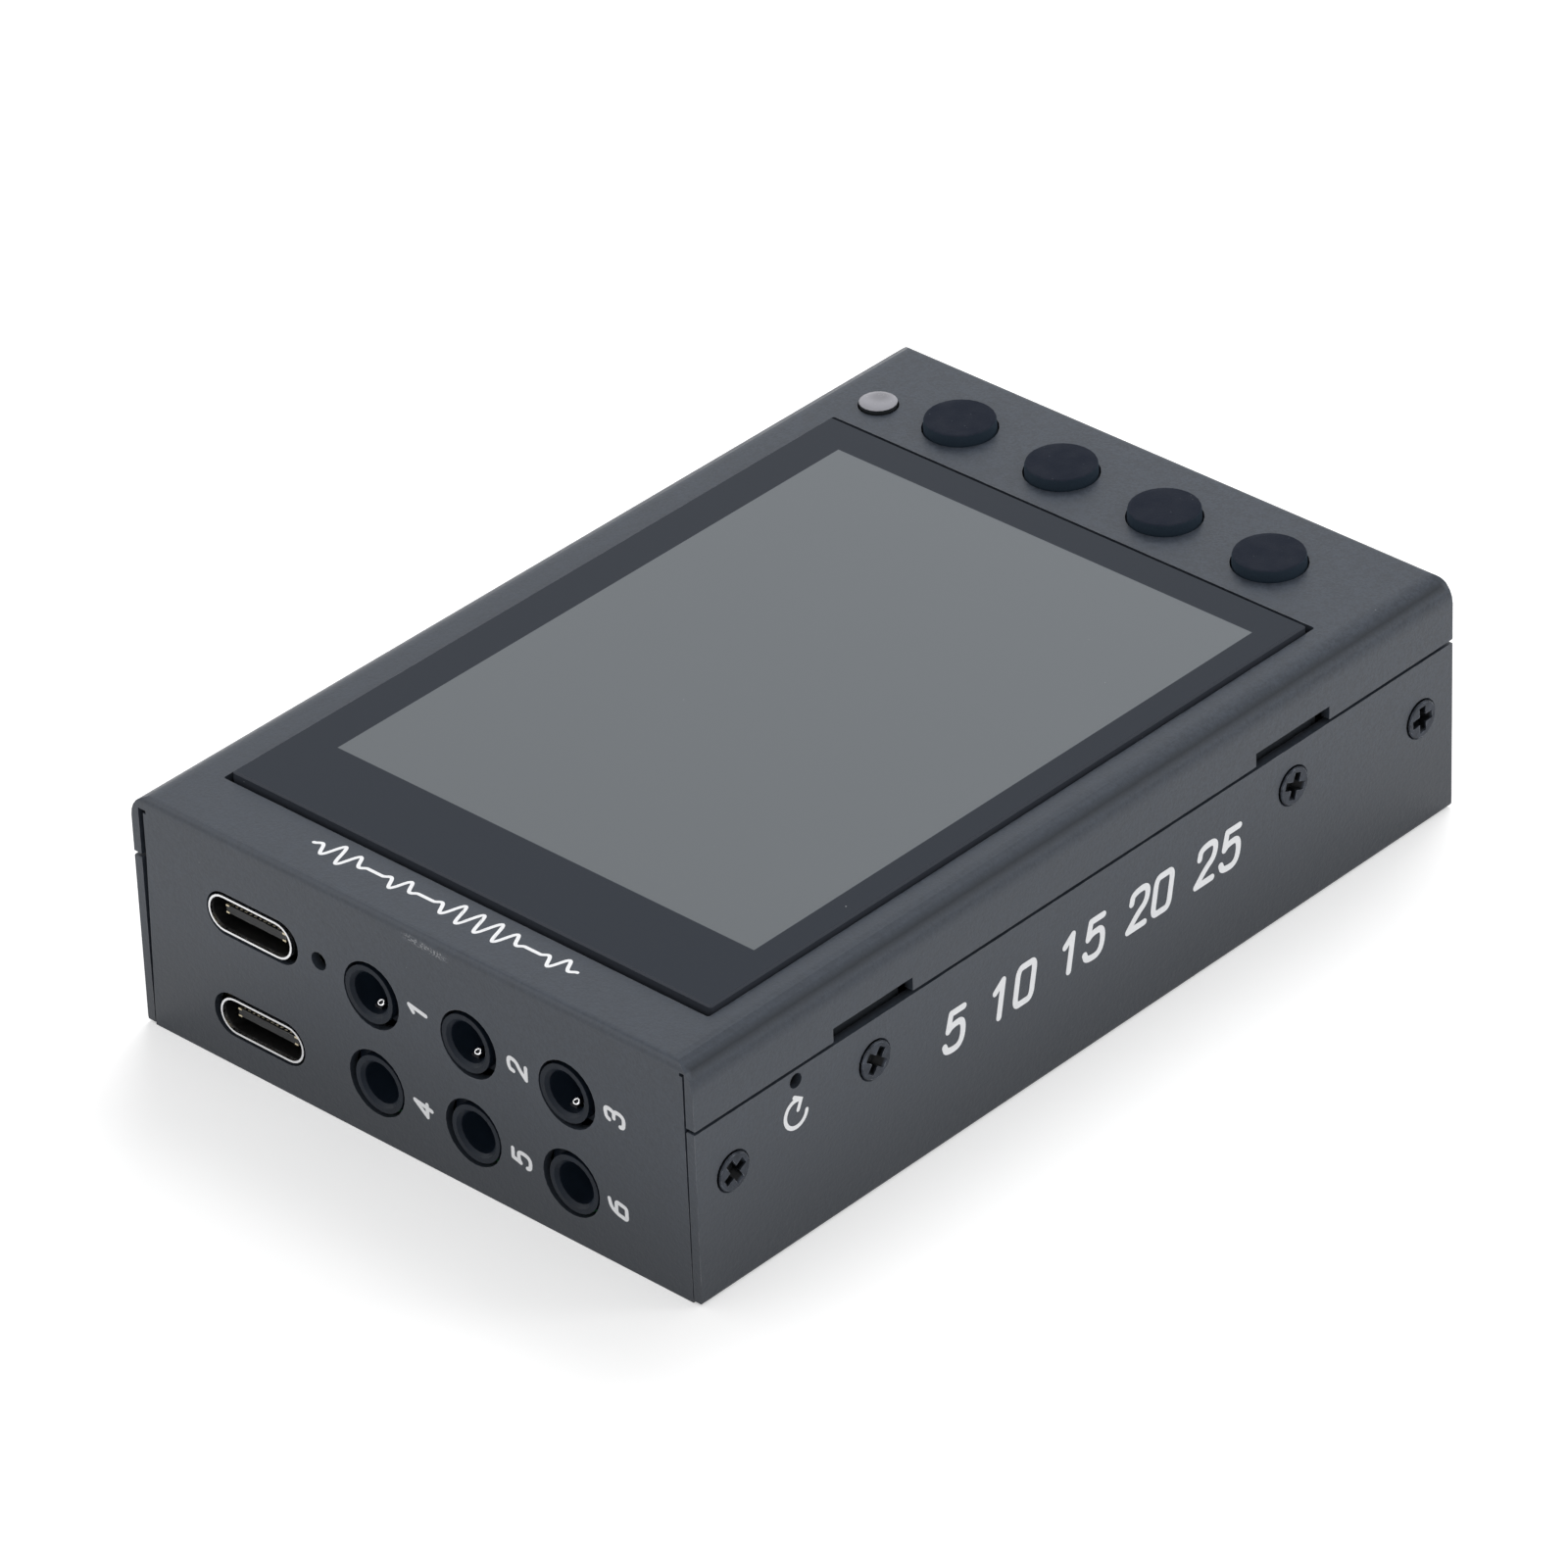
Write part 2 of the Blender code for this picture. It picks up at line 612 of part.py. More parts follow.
def add_tab_and_stud_holes(mesh):
    for side, y, z in case_screw_places():
        low = TAB_FACE - SHEET - CLEARANCE
        high = TAB_FACE + CLEARANCE / 2
        ends = sorted((side * low, side * high))
        add_prism(mesh, circle((y, z), SCREW_HOLE, SMALL_STEPS), *ends, "X")
    for place in spacer_places():
        top = STUD_BASE + STUD_THREAD_DEPTH
        add_prism(mesh, circle(place, THREAD_HOLE, SMALL_STEPS), STUD_BASE - CLEARANCE / 2, top)


def make_upper_shell(finish):
    hood = (HALF_WIDTH, HALF_LENGTH, 0, CASE_HEIGHT, SIDE_BEND)
    cavity = (INNER_WIDTH, INNER_LENGTH, -OVERRUN, PANEL_UNDERSIDE, SIDE_BEND - SHEET)
    shell = solid("upper_shell", lambda mesh: add_hood(mesh, *hood), finish)
    combine(shell, add_end_bends, "DIFFERENCE", "end_bends")
    combine(shell, lambda mesh: add_hood(mesh, *cavity), "DIFFERENCE", "cavity")
    combine(shell, add_below_seam, "DIFFERENCE", "below_seam")
    combine(shell, add_corner_slits, "DIFFERENCE", "corner_slits")
    combine(shell, add_top_openings, "DIFFERENCE", "top_openings")
    combine(shell, add_end_openings, "DIFFERENCE", "end_openings")
    combine(shell, add_charge_opening, "DIFFERENCE", "charge_opening")
    combine(shell, add_tabs, "UNION", "tabs")
    combine(shell, add_studs, "UNION", "studs")
    combine(shell, add_tab_and_stud_holes, "DIFFERENCE", "tab_and_stud_holes")
    settle(shell)


def add_tray(mesh):
    """The lower shell's section: the floor, the two long walls and the bends between them."""
    rim = SEAM_HEIGHT - CLEARANCE
    outline = [(-HALF_WIDTH, rim)]
    outline += arc((FLOOR_BEND - HALF_WIDTH, FLOOR_BEND), FLOOR_BEND, 180, 270, CORNER_STEPS)
    outline += arc((HALF_WIDTH - FLOOR_BEND, FLOOR_BEND), FLOOR_BEND, 270, 360, CORNER_STEPS)
    outline += [(HALF_WIDTH, rim), (INNER_WIDTH, rim)]
    bend = (INNER_WIDTH - INNER_BEND, SHEET + INNER_BEND)
    outline += arc(bend, INNER_BEND, 360, 270, CORNER_STEPS)
    outline += arc((-bend[0], bend[1]), INNER_BEND, 270, 180, CORNER_STEPS)
    outline.append((-INNER_WIDTH, rim))
    add_prism(mesh, outline, -HALF_LENGTH, HALF_LENGTH, "Y")


def add_floor_ends(mesh):
    """Room for the end flanges, between the ends of the walls."""
    for end in SIDES:
        outline = rectangle(-INNER_WIDTH, INNER_WIDTH, INNER_LENGTH - CLEARANCE, HALF_LENGTH + OVERRUN)
        add_prism(mesh, [(x, end * y) for x, y in outline], -OVERRUN, SHEET + INNER_BEND)


def add_wall_nicks(mesh):
    """The nicks at the ends of the floor bends."""
    for side in SIDES:
        for end in SIDES:
            near, far = HALF_LENGTH - NICK_LENGTH, HALF_LENGTH + OVERRUN
            outline = rectangle(INNER_WIDTH - OVERRUN, HALF_WIDTH + OVERRUN, near, far)
            add_prism(mesh, [(side * x, end * y) for x, y in outline], -OVERRUN, NICK_HEIGHT)


def add_wall_corners(mesh):
    """What is taken off the walls' upper corners to round them."""
    rim = SEAM_HEIGHT - CLEARANCE
    for side in SIDES:
        for end in SIDES:
            middle = (HALF_LENGTH - SEAM_CORNER, rim - SEAM_CORNER)
            outline = arc(middle, SEAM_CORNER, 0, 90, CORNER_STEPS)
            outline.append((HALF_LENGTH - SEAM_CORNER, rim + OVERRUN))
            outline.append((HALF_LENGTH + OVERRUN, rim + OVERRUN))
            outline.append((HALF_LENGTH + OVERRUN, rim - SEAM_CORNER))
            outline = [(end * y, z) for y, z in outline]
            ends = sorted((side * (INNER_WIDTH - OVERRUN), side * (HALF_WIDTH + OVERRUN)))
            add_prism(mesh, outline, *ends, "X")


def side_matrix(side, y, z):
    """Turns +Z to point out of a long side, at the outer face of its wall."""
    turn = Matrix.Rotation(side * pi / 2, 4, "Y")
    return Matrix.Translation((side * HALF_WIDTH, y, z)) @ turn


def add_wall_holes(mesh):
    """Countersunk screw holes and the reset hole."""
    slope = COUNTERSINK - SCREW_HOLE
    profile = [(0, -SHEET - OVERRUN), (SCREW_HOLE, -SHEET - OVERRUN), (SCREW_HOLE, -slope)]
    profile += [(COUNTERSINK, 0), (COUNTERSINK, OVERRUN), (0, OVERRUN)]
    for side, y, z in case_screw_places():
        add_turned(mesh, profile, FINE_STEPS, side_matrix(side, y, z))
    outline = circle((RESET_PLACE, RESET_HEIGHT), RESET_HOLE, SMALL_STEPS)
    add_prism(mesh, outline, INNER_WIDTH - OVERRUN, HALF_WIDTH + OVERRUN, "X")


def make_lower_shell(finish):
    shell = solid("lower_shell", add_tray, finish)
    combine(shell, add_floor_ends, "DIFFERENCE", "floor_ends")
    combine(shell, add_wall_nicks, "DIFFERENCE", "wall_nicks")
    combine(shell, add_wall_corners, "DIFFERENCE", "wall_corners")
    combine(shell, add_wall_holes, "DIFFERENCE", "wall_holes")
    settle(shell)


# Screws


def add_case_screw(mesh):
    """A countersunk screw whose soft-edged head stands a little proud of the wall."""
    top = CASE_SCREW_PROUD
    neck = CASE_SCREW_SHANK - CASE_SCREW_HEAD
    tip = top - CASE_SCREW_LENGTH
    profile = [(0, top), (CASE_SCREW_HEAD - CASE_SCREW_ROUND, top), (CASE_SCREW_HEAD, top - CASE_SCREW_ROUND)]
    profile += [(CASE_SCREW_HEAD, 0), (CASE_SCREW_SHANK, neck), (CASE_SCREW_SHANK, tip), (0, tip)]
    add_turned(mesh, profile, FINE_STEPS)


def cross(reach, arm):
    """A cross of two bars, from its reach and half the width of its bars."""
    quarter = [(arm, arm), (arm, reach), (-arm, reach)]
    points = []
    for _ in range(4):
        points += quarter
        quarter = [(-y, x) for x, y in quarter]
    return points


def add_cross_recess(mesh):
    """A cross whose arms grow shorter as it goes down."""
    tip = CASE_SCREW_PROUD - RECESS_DEPTH
    slope = (RECESS_REACH - RECESS_ARM) / RECESS_DEPTH
    high = CASE_SCREW_PROUD + OVERRUN
    wide = RECESS_REACH + slope * OVERRUN
    add_loft(mesh, ((cross(RECESS_ARM + RECESS_FLAT, RECESS_ARM), tip), (cross(wide, RECESS_ARM), high)))


def make_case_screws(finish):
    first = solid("case_screw", add_case_screw, finish)
    combine(first, add_cross_recess, "DIFFERENCE", "recess")
    data = pattern(first)
    turns = (2, 69, 30, 53, 50, 20, 81, 33)
    for number, (side, y, z) in enumerate(case_screw_places(), 1):
        screw = place_mesh("case_screw_%d" % number, data, finish)
        turn = Matrix.Rotation(radians(turns[number - 1]), 4, "Z")
        screw.matrix_world = side_matrix(side, y, z) @ turn


def add_board_screw(mesh):
    top = LOWER_BOARD_BASE - WAFER_GAP
    tip = top + WAFER_SCREW_REACH
    profile = [(0, top - WAFER_THICKNESS), (WAFER_HEAD, top - WAFER_THICKNESS), (WAFER_HEAD, top)]
    profile += [(THREAD_RADIUS, top), (THREAD_RADIUS, tip - THREAD_RADIUS / 2)]
    profile += [(THREAD_RADIUS / 2, tip), (0, tip)]
    add_turned(mesh, profile, SMALL_STEPS)


def add_screw_slot(mesh):
    base = LOWER_BOARD_BASE - WAFER_GAP - WAFER_THICKNESS
    outline = rounded_rectangle((0, 0), SLOT_LENGTH, SLOT_WIDTH, SLOT_WIDTH / 2, 2)
    add_prism(mesh, outline, base - OVERRUN, base + SLOT_DEPTH)


def make_board_screws(finish):
    first = solid("board_screw", add_board_screw, finish)
    combine(first, add_screw_slot, "DIFFERENCE", "slot")
    data = pattern(first)
    for number, (x, y) in enumerate(spacer_places(), 1):
        place_mesh("board_screw_%d" % number, data, finish, (x, y, 0))


def add_spacer(mesh):
    add_prism(mesh, hexagon((0, 0), SPACER_FLATS), SPACER_BASE, SPACER_TOP)


def add_spacer_thread(mesh):
    tip = STUD_BASE + STUD_THREAD_DEPTH - CLEARANCE
    outline = circle((0, 0), THREAD_RADIUS, SMALL_STEPS)
    add_prism(mesh, outline, SPACER_TOP - THREAD_RADIUS, tip)


def add_spacer_bore(mesh):
    outline = circle((0, 0), THREAD_HOLE, SMALL_STEPS)
    add_prism(mesh, outline, SPACER_BASE - OVERRUN, SPACER_BASE + SPACER_BORE_DEPTH)


def make_spacers(finish):
    first = solid("spacer", add_spacer, finish)
    combine(first, add_spacer_thread, "UNION", "thread")
    combine(first, add_spacer_bore, "DIFFERENCE", "bore")
    data = pattern(first)
    for number, (x, y) in enumerate(spacer_places(), 1):
        place_mesh("spacer_%d" % number, data, finish, (x, y, 0))


# Display


def add_touch_panel(mesh):
    """A glass plate that stands proud of the case, with the edges of its face ground off."""
    middle = (GLASS_PLACE_X, GLASS_PLACE_Y)
    top = CASE_HEIGHT + GLASS_PROUD
    wide = rounded_rectangle(middle, GLASS_WIDTH, GLASS_LENGTH, DISPLAY_CORNER)
    ground = 2 * GLASS_EDGE
    face = rounded_rectangle(middle, GLASS_WIDTH - ground, GLASS_LENGTH - ground, DISPLAY_CORNER - GLASS_EDGE)
    add_loft(mesh, ((wide, top - GLASS_THICKNESS), (wide, top - GLASS_EDGE), (face, top)))


def make_display(glass, frame):
    solid("touch_panel", add_touch_panel, glass)

    top = CASE_HEIGHT + GLASS_PROUD - GLASS_THICKNESS - CLEARANCE
    base = UPPER_BOARD_TOP + CLEARANCE
    width = DISPLAY_WIDTH - 2 * CLEARANCE
    length = DISPLAY_LENGTH - 2 * CLEARANCE
    outline = rounded_rectangle((DISPLAY_PLACE_X, DISPLAY_PLACE_Y), width, length, DISPLAY_CORNER)
    module = solid("display_module", lambda mesh: add_prism(mesh, outline, base, top), frame)
    middle = (GLASS_PLACE_X, ACTIVE_PLACE_Y)
    window = rounded_rectangle(middle, ACTIVE_WIDTH, ACTIVE_LENGTH, DISPLAY_CORNER)
    low = top - ACTIVE_SINK
    combine(module, lambda mesh: add_prism(mesh, window, low, top + OVERRUN), "DIFFERENCE", "window")


# Boards


def add_board_holes(mesh):
    for place in spacer_places():
        add_prism(mesh, circle(place, THREAD_HOLE, SMALL_STEPS), -OVERRUN, CASE_HEIGHT)


def make_boards(finish):
    outline = rounded_rectangle((0, 0), BOARD_WIDTH, BOARD_LENGTH, BOARD_CORNER)
    upper = ("upper_board", UPPER_BOARD_BASE, UPPER_BOARD_TOP)
    lower = ("lower_board", LOWER_BOARD_BASE, LOWER_BOARD_TOP)
    for name, low, high in (upper, lower):
        board = solid(name, lambda mesh: add_prism(mesh, outline, low, high), finish)
        combine(board, add_board_holes, "DIFFERENCE", "holes")


def add_link_header(mesh):
    length = LINK_PITCH * LINK_PINS
    outline = rounded_rectangle((0, 0), LINK_WIDTH, length, LINK_PIN)
    add_prism(mesh, outline, UPPER_HANG - LINK_HEADER_HEIGHT, UPPER_HANG)


def link_pin_places():
    first = -LINK_PITCH * (LINK_PINS - 1) / 2
    return [(row * LINK_PITCH / 2, first + LINK_PITCH * i) for row in SIDES for i in range(LINK_PINS)]


def add_link_pins(mesh):
    tip = LOWER_SEAT + LINK_SOCKET_HEIGHT - LINK_PIN_DEPTH
    for x, y in link_pin_places():
        half = LINK_PIN / 2
        outline = rectangle(x - half, x + half, y - half, y + half)
        add_prism(mesh, outline, tip, UPPER_HANG - LINK_HEADER_HEIGHT / 2)


def add_link_wells(mesh):
    top = LOWER_SEAT + LINK_SOCKET_HEIGHT
    length = LINK_PITCH * (LINK_PINS - 1) + LINK_WELL_WIDTH
    for row in SIDES:
        middle = (row * LINK_PITCH / 2, 0)
        outline = rounded_rectangle(middle, LINK_WELL_WIDTH, length, LINK_WELL_WIDTH / 4, 2)
        add_prism(mesh, outline, top - LINK_WELL_DEPTH, top + OVERRUN)


def make_link(finish):
    place = (LINK_PLACE_X, LINK_PLACE_Y, 0)
    header = solid("link_header", add_link_header, finish, place)
    combine(header, add_link_pins, "UNION", "pins")
    outline = rounded_rectangle((0, 0), LINK_WIDTH, LINK_PITCH * LINK_PINS, LINK_PIN)
    top = LOWER_SEAT + LINK_SOCKET_HEIGHT
    socket = solid("link_socket", lambda mesh: add_prism(mesh, outline, LOWER_SEAT, top), finish, place)
    combine(socket, add_link_wells, "DIFFERENCE", "wells")


# Buttons


def add_button_cap(mesh):
    """A rubber cap with the pin that works the switch. Its origin is level with the top panel."""
    proud = BUTTON_PROUD
    under = CAP_FLANGE_TOP - CASE_HEIGHT
    base = CAP_FLANGE_BASE - CASE_HEIGHT
    top_radius = BUTTON_RADIUS - BUTTON_TAPER
    profile = [(0, base - PLUNGER_DEPTH), (PLUNGER_RADIUS, base - PLUNGER_DEPTH), (PLUNGER_RADIUS, base)]
    profile += [(BUTTON_FLANGE, base), (BUTTON_FLANGE, under), (BUTTON_RADIUS, under), (BUTTON_RADIUS, 0)]
    profile += arc((top_radius - BUTTON_EDGE, proud - BUTTON_EDGE), BUTTON_EDGE, 0, 90, 2)
    profile += [(0, proud)]
    add_turned(mesh, profile)


def add_switch(mesh):
    low = UPPER_BOARD_TOP + CLEARANCE
    add_prism(mesh, rounded_rectangle((0, 0), SWITCH_WIDTH, SWITCH_WIDTH, SWITCH_CORNER, 2), low, SWITCH_TOP)


def add_switch_well(mesh):
    outline = circle((0, 0), SWITCH_WELL, SMALL_STEPS)
    add_prism(mesh, outline, SWITCH_TOP - SWITCH_WELL_DEPTH, SWITCH_TOP + OVERRUN)


def make_buttons(rubber, plastic):
    cap = pattern(solid("button_cap", add_button_cap, rubber))
    first = solid("button_switch", add_switch, plastic)
    combine(first, add_switch_well, "DIFFERENCE", "well")
    switch = pattern(first)
    for number, (x, y) in enumerate(button_places(), 1):
        place_mesh("button_cap_%d" % number, cap, rubber, (x, y, CASE_HEIGHT))
        place_mesh("button_switch_%d" % number, switch, plastic, (x, y, 0))


# Lights


def make_status_led(finish):
    base = UPPER_BOARD_TOP + CLEARANCE
    shoulder = CASE_HEIGHT + LED_PROUD - LED_DOME
    profile = [(0, base), (LED_FLANGE, base), (LED_FLANGE, base + LED_FLANGE_THICKNESS)]
    profile += [(LED_RADIUS, base + LED_FLANGE_THICKNESS)]
    dome = arc((0, 0), 1, 0, 90, CORNER_STEPS)[:-1]
    profile += [(LED_RADIUS * x, shoulder + LED_DOME * z) for x, z in dome]
    profile += [(0, shoulder + LED_DOME)]
    settle(solid("status_led", lambda mesh: add_turned(mesh, profile, FINE_STEPS), finish, (*LED_PLACE, 0)))


def make_charge_led(finish):
    front = CLEARANCE - INNER_LENGTH
    half = CHARGE_WIDTH / 2
    outline = rectangle(-half, half, CHARGE_HEIGHT - half, UPPER_HANG)
    place = (CHARGE_PLACE + UPPER_SOCKET_OFFSET, 0, 0)
    low = front + CHARGE_LENS
    high = low + CHARGE_DEPTH
    block = solid("charge_led", lambda mesh: add_prism(mesh, outline, low, high, "Y"), finish, place)
    lens = circle((0, CHARGE_HEIGHT), CHARGE_LENS, SMALL_STEPS)
    combine(block, lambda mesh: add_prism(mesh, lens, front, high - CHARGE_DEPTH / 2, "Y"), "UNION", "lens")


# Sockets


def add_jack_block(mesh):
    """The jack's block, behind the end flange. Its origin is the middle of its mouth."""
    start = SHEET + CLEARANCE
    outline = rounded_rectangle((0, 0), JACK_BLOCK_WIDTH, JACK_BLOCK_HEIGHT, JACK_MOUTH, 1)
    add_prism(mesh, outline, start, start + JACK_BLOCK_LENGTH, "Y")


def add_jack_barrel(mesh):
    turn = Matrix.Rotation(-pi / 2, 4, "X")
    end = SHEET + CLEARANCE + JACK_MOUTH
    add_turned(mesh, [(0, 0), (JACK_BARREL, 0), (JACK_BARREL, end), (0, end)], HOLE_STEPS, turn)


def add_jack_bore(mesh):
    turn = Matrix.Rotation(-pi / 2, 4, "X")
    wide = JACK_BORE + JACK_MOUTH
    profile = [(0, -OVERRUN), (wide, -OVERRUN), (wide, 0), (JACK_BORE, JACK_MOUTH)]
    profile += [(JACK_BORE, JACK_BORE_DEPTH), (0, JACK_BORE_DEPTH)]
    add_turned(mesh, profile, FINE_STEPS, turn)


def add_jack_slot(mesh):
    """The slot for the spring, from the block's outer face into the bore."""
    half = JACK_SLOT_WIDTH / 2
    outline = rectangle(-half, half, JACK_SLOT_START, JACK_SLOT_END)
    add_prism(mesh, outline, JACK_BORE / 2, JACK_BLOCK_HEIGHT / 2 + OVERRUN)


def add_jack_contact(mesh):
    """A leaf spring in the slot, with a nose that dips into the bore."""
    rest = JACK_BLOCK_HEIGHT / 2 - CONTACT_THICKNESS
    dip = JACK_BORE - CONTACT_DIP
    nose = CONTACT_TIP + CONTACT_NOSE
    lower = [(CONTACT_TIP, dip + CONTACT_THICKNESS / 2), (nose, dip), (nose + CONTACT_RISE, rest)]
    lower.append((JACK_SLOT_END - CLEARANCE, rest))
    upper = [(y, z + CONTACT_THICKNESS) for y, z in reversed(lower)]
    add_prism(mesh, lower + upper, -CONTACT_WIDTH / 2, CONTACT_WIDTH / 2, "X")


def make_jacks(plastic, metal):
    first = solid("jack", add_jack_block, plastic)
    combine(first, add_jack_barrel, "UNION", "barrel")
    combine(first, add_jack_bore, "DIFFERENCE", "bore")
    combine(first, add_jack_slot, "DIFFERENCE", "slot")
    body = pattern(first)
    contact = pattern(solid("jack_contact", add_jack_contact, metal))
    for index, (x, height, offset) in enumerate(jack_places()):
        row = ("upper", "lower")[index // JACK_COLUMNS]
        name = "%s_%d" % (row, index % JACK_COLUMNS + 1)
        place = (x + offset, -HALF_LENGTH, height)
        turn = (0, pi if row == "upper" else 0, 0)
        place_mesh("jack_" + name, body, plastic, place, turn)
        place_mesh("jack_contact_" + name, contact, metal, place, turn)


def stadium(width, height):
    return rounded_rectangle((0, 0), width, height, height / 2, 6)


def make_usb(name, height, offset, metal, plastic):
    """A pressed shell open at the front, and the moulding that fills its back and makes the tongue."""
    place = (USB_PLACE + offset, -HALF_LENGTH, height)
    depth = USB_SHELL_DEPTH
    inner_width = USB_SHELL_WIDTH - 2 * USB_SHELL_WALL
    inner_height = USB_SHELL_HEIGHT - 2 * USB_SHELL_WALL
    outer = stadium(USB_SHELL_WIDTH, USB_SHELL_HEIGHT)
    inner = stadium(inner_width, inner_height)
    settle(solid(name + "_shell", lambda mesh: add_tube(mesh, outer, inner, 0, depth, "Y"), metal, place))

    block = stadium(inner_width - 2 * USB_BLOCK_GAP, inner_height - 2 * USB_BLOCK_GAP)
    front = depth - USB_BLOCK_DEPTH
    tongue = solid(name + "_tongue", lambda mesh: add_prism(mesh, block, front, depth, "Y"), plastic, place)
    plate = rounded_rectangle((0, 0), USB_TONGUE_WIDTH, USB_TONGUE_THICKNESS, USB_TONGUE_THICKNESS / 4, 2)
    back = depth - USB_BLOCK_DEPTH / 2
    combine(tongue, lambda mesh: add_prism(mesh, plate, USB_TONGUE_SINK, back, "Y"), "UNION", "plate")


# Reset


def make_reset(plastic, plunger_finish):
    """A side-acting switch under the upper board, and its plunger behind the reset hole."""
    half = RESET_BLOCK_LENGTH / 2
    low = RESET_HEIGHT - (UPPER_HANG - RESET_HEIGHT)
    outline = rectangle(RESET_PLACE - half, RESET_PLACE + half, low, UPPER_HANG)
    back = RESET_BLOCK_FACE - RESET_BLOCK_DEPTH
    block = solid("reset_switch", lambda mesh: add_prism(mesh, outline, back, RESET_BLOCK_FACE, "X"), plastic)
    well_radius = RESET_PLUNGER_RADIUS + RESET_WELL_CLEARANCE
    well = circle((RESET_PLACE, RESET_HEIGHT), well_radius, SMALL_STEPS)
    floor = RESET_BLOCK_FACE - RESET_PLUNGER_DEPTH - RESET_TRAVEL - CLEARANCE
    mouth = RESET_BLOCK_FACE + OVERRUN
    combine(block, lambda mesh: add_prism(mesh, well, floor, mouth, "X"), "DIFFERENCE", "well")

    proud = RESET_PLUNGER_PROUD
    edge = RESET_PLUNGER_RADIUS / 3
    profile = [(0, -RESET_PLUNGER_DEPTH), (RESET_PLUNGER_RADIUS, -RESET_PLUNGER_DEPTH)]
    profile += [(RESET_PLUNGER_RADIUS, proud - edge), (RESET_PLUNGER_RADIUS - edge, proud), (0, proud)]
    place = (RESET_BLOCK_FACE, RESET_PLACE, RESET_HEIGHT)
    turn = (0, pi / 2, 0)
    solid("reset_plunger", lambda mesh: add_turned(mesh, profile, SMALL_STEPS), plunger_finish, place, turn)


# Battery


def add_battery(mesh):
    """A flat pouch with round long edges."""
    middle = (BATTERY_PLACE_X, LOWER_SEAT + BATTERY_THICKNESS / 2)
    outline = rounded_rectangle(middle, BATTERY_WIDTH, BATTERY_THICKNESS, BATTERY_EDGE)
    add_prism(mesh, outline, BATTERY_NEAR_END, BATTERY_FAR_END, "Y")


def lead_points(x):
    """An S-curve from the battery's end down to its socket."""
    start = BATTERY_FAR_END + CLEARANCE
    end = start + SOCKET_FAR - CLEARANCE
    high = LOWER_SEAT + LEAD_RUN_HEIGHT
    low = LOWER_SEAT + SOCKET_HEIGHT / 2
    count = 8
    points = []
    for step in range(count + 1):
        t = step / count
        ease = t * t * (3 - 2 * t)
        points.append((x, start + (end - start) * t, high + (low - high) * ease))
    return points


def make_lead(name, x, finish):
    route = bpy.data.curves.new(name, "CURVE")
    route.dimensions = "3D"
    route.resolution_u = 1
    route.bevel_depth = LEAD_RADIUS
    route.bevel_resolution = 2
    route.use_fill_caps = True
    points = lead_points(x)
    spline = route.splines.new("POLY")
    spline.points.add(len(points) - 1)
    for knot, point in zip(spline.points, points):
        knot.co = (*point, 1)
    item = bpy.data.objects.new(name, route)
    bpy.context.collection.objects.link(item)
    route.materials.append(finish)


def make_battery(pouch, plastic, red, black):
    solid("battery", add_battery, pouch)
    near = BATTERY_FAR_END + SOCKET_FAR + CLEARANCE
    half = SOCKET_WIDTH / 2
    outline = rectangle(SOCKET_PLACE - half, SOCKET_PLACE + half, near, near + SOCKET_LENGTH)
    high = LOWER_SEAT + SOCKET_HEIGHT
    solid("battery_socket", lambda mesh: add_prism(mesh, outline, LOWER_SEAT, high), plastic)
    make_lead("battery_lead_red", SOCKET_PLACE - LEAD_PITCH / 2, red)
    make_lead("battery_lead_black", SOCKET_PLACE + LEAD_PITCH / 2, black)


# Sounder


def make_sounder(finish):
    outline = rounded_rectangle((0, 0), SOUNDER_WIDTH, SOUNDER_WIDTH, SOUNDER_CORNER, 2)
    top = LOWER_SEAT + SOUNDER_HEIGHT
    place = (*SOUNDER_PLACE, 0)
    block = solid("sounder", lambda mesh: add_prism(mesh, outline, LOWER_SEAT, top), finish, place)
    hole = circle((0, 0), SOUNDER_HOLE, SMALL_STEPS)
    low = top - SOUNDER_HOLE_DEPTH
    combine(block, lambda mesh: add_prism(mesh, hole, low, top + OVERRUN), "DIFFERENCE", "hole")


def main():
    clear_scene()
    coat = material("powder_coat", (0.100, 0.112, 0.130), 0.42, 0.55)
    glass = material("display_glass", (0.105, 0.112, 0.125), 0.25, 0)
    frame = material("display_frame", (0.55, 0.56, 0.58), 0.35, 0.8)
    board = material("board_green", (0.010, 0.090, 0.035), 0.40, 0)
    rubber = material("button_rubber", (0.020, 0.024, 0.032), 0.75, 0)
    black = material("black_plastic", (0.016, 0.017, 0.019), 0.45, 0)
    grey = material("grey_plastic", (0.12, 0.12, 0.13), 0.50, 0)
    milky = material("milky_lens", (0.72, 0.72, 0.76), 0.25, 0)
    steel = material("bright_steel", (0.62, 0.62, 0.62), 0.22, 1)
    dark_steel = material("black_oxide_steel", (0.045, 0.048, 0.055), 0.35, 0.9)
    brass = material("brass", (0.62, 0.42, 0.16), 0.28, 1)
    pouch = material("battery_foil", (0.42, 0.43, 0.45), 0.35, 0.6)
    red = material("red_insulation", (0.48, 0.02, 0.02), 0.45, 0)

    make_upper_shell(coat)
    make_lower_shell(coat)
    make_case_screws(dark_steel)
    make_display(glass, frame)
    make_boards(board)
    make_spacers(brass)
    make_board_screws(steel)
    make_link(black)
    make_buttons(rubber, grey)
    make_status_led(milky)
    make_charge_led(milky)
    make_jacks(black, brass)
    make_usb("usb_upper", USB_UPPER_HEIGHT, UPPER_SOCKET_OFFSET, steel, black)
    make_usb("usb_lower", USB_LOWER_HEIGHT, LOWER_SOCKET_OFFSET, steel, black)
    make_reset(black, milky)
    make_battery(pouch, milky, red, black)
    make_sounder(black)


main()
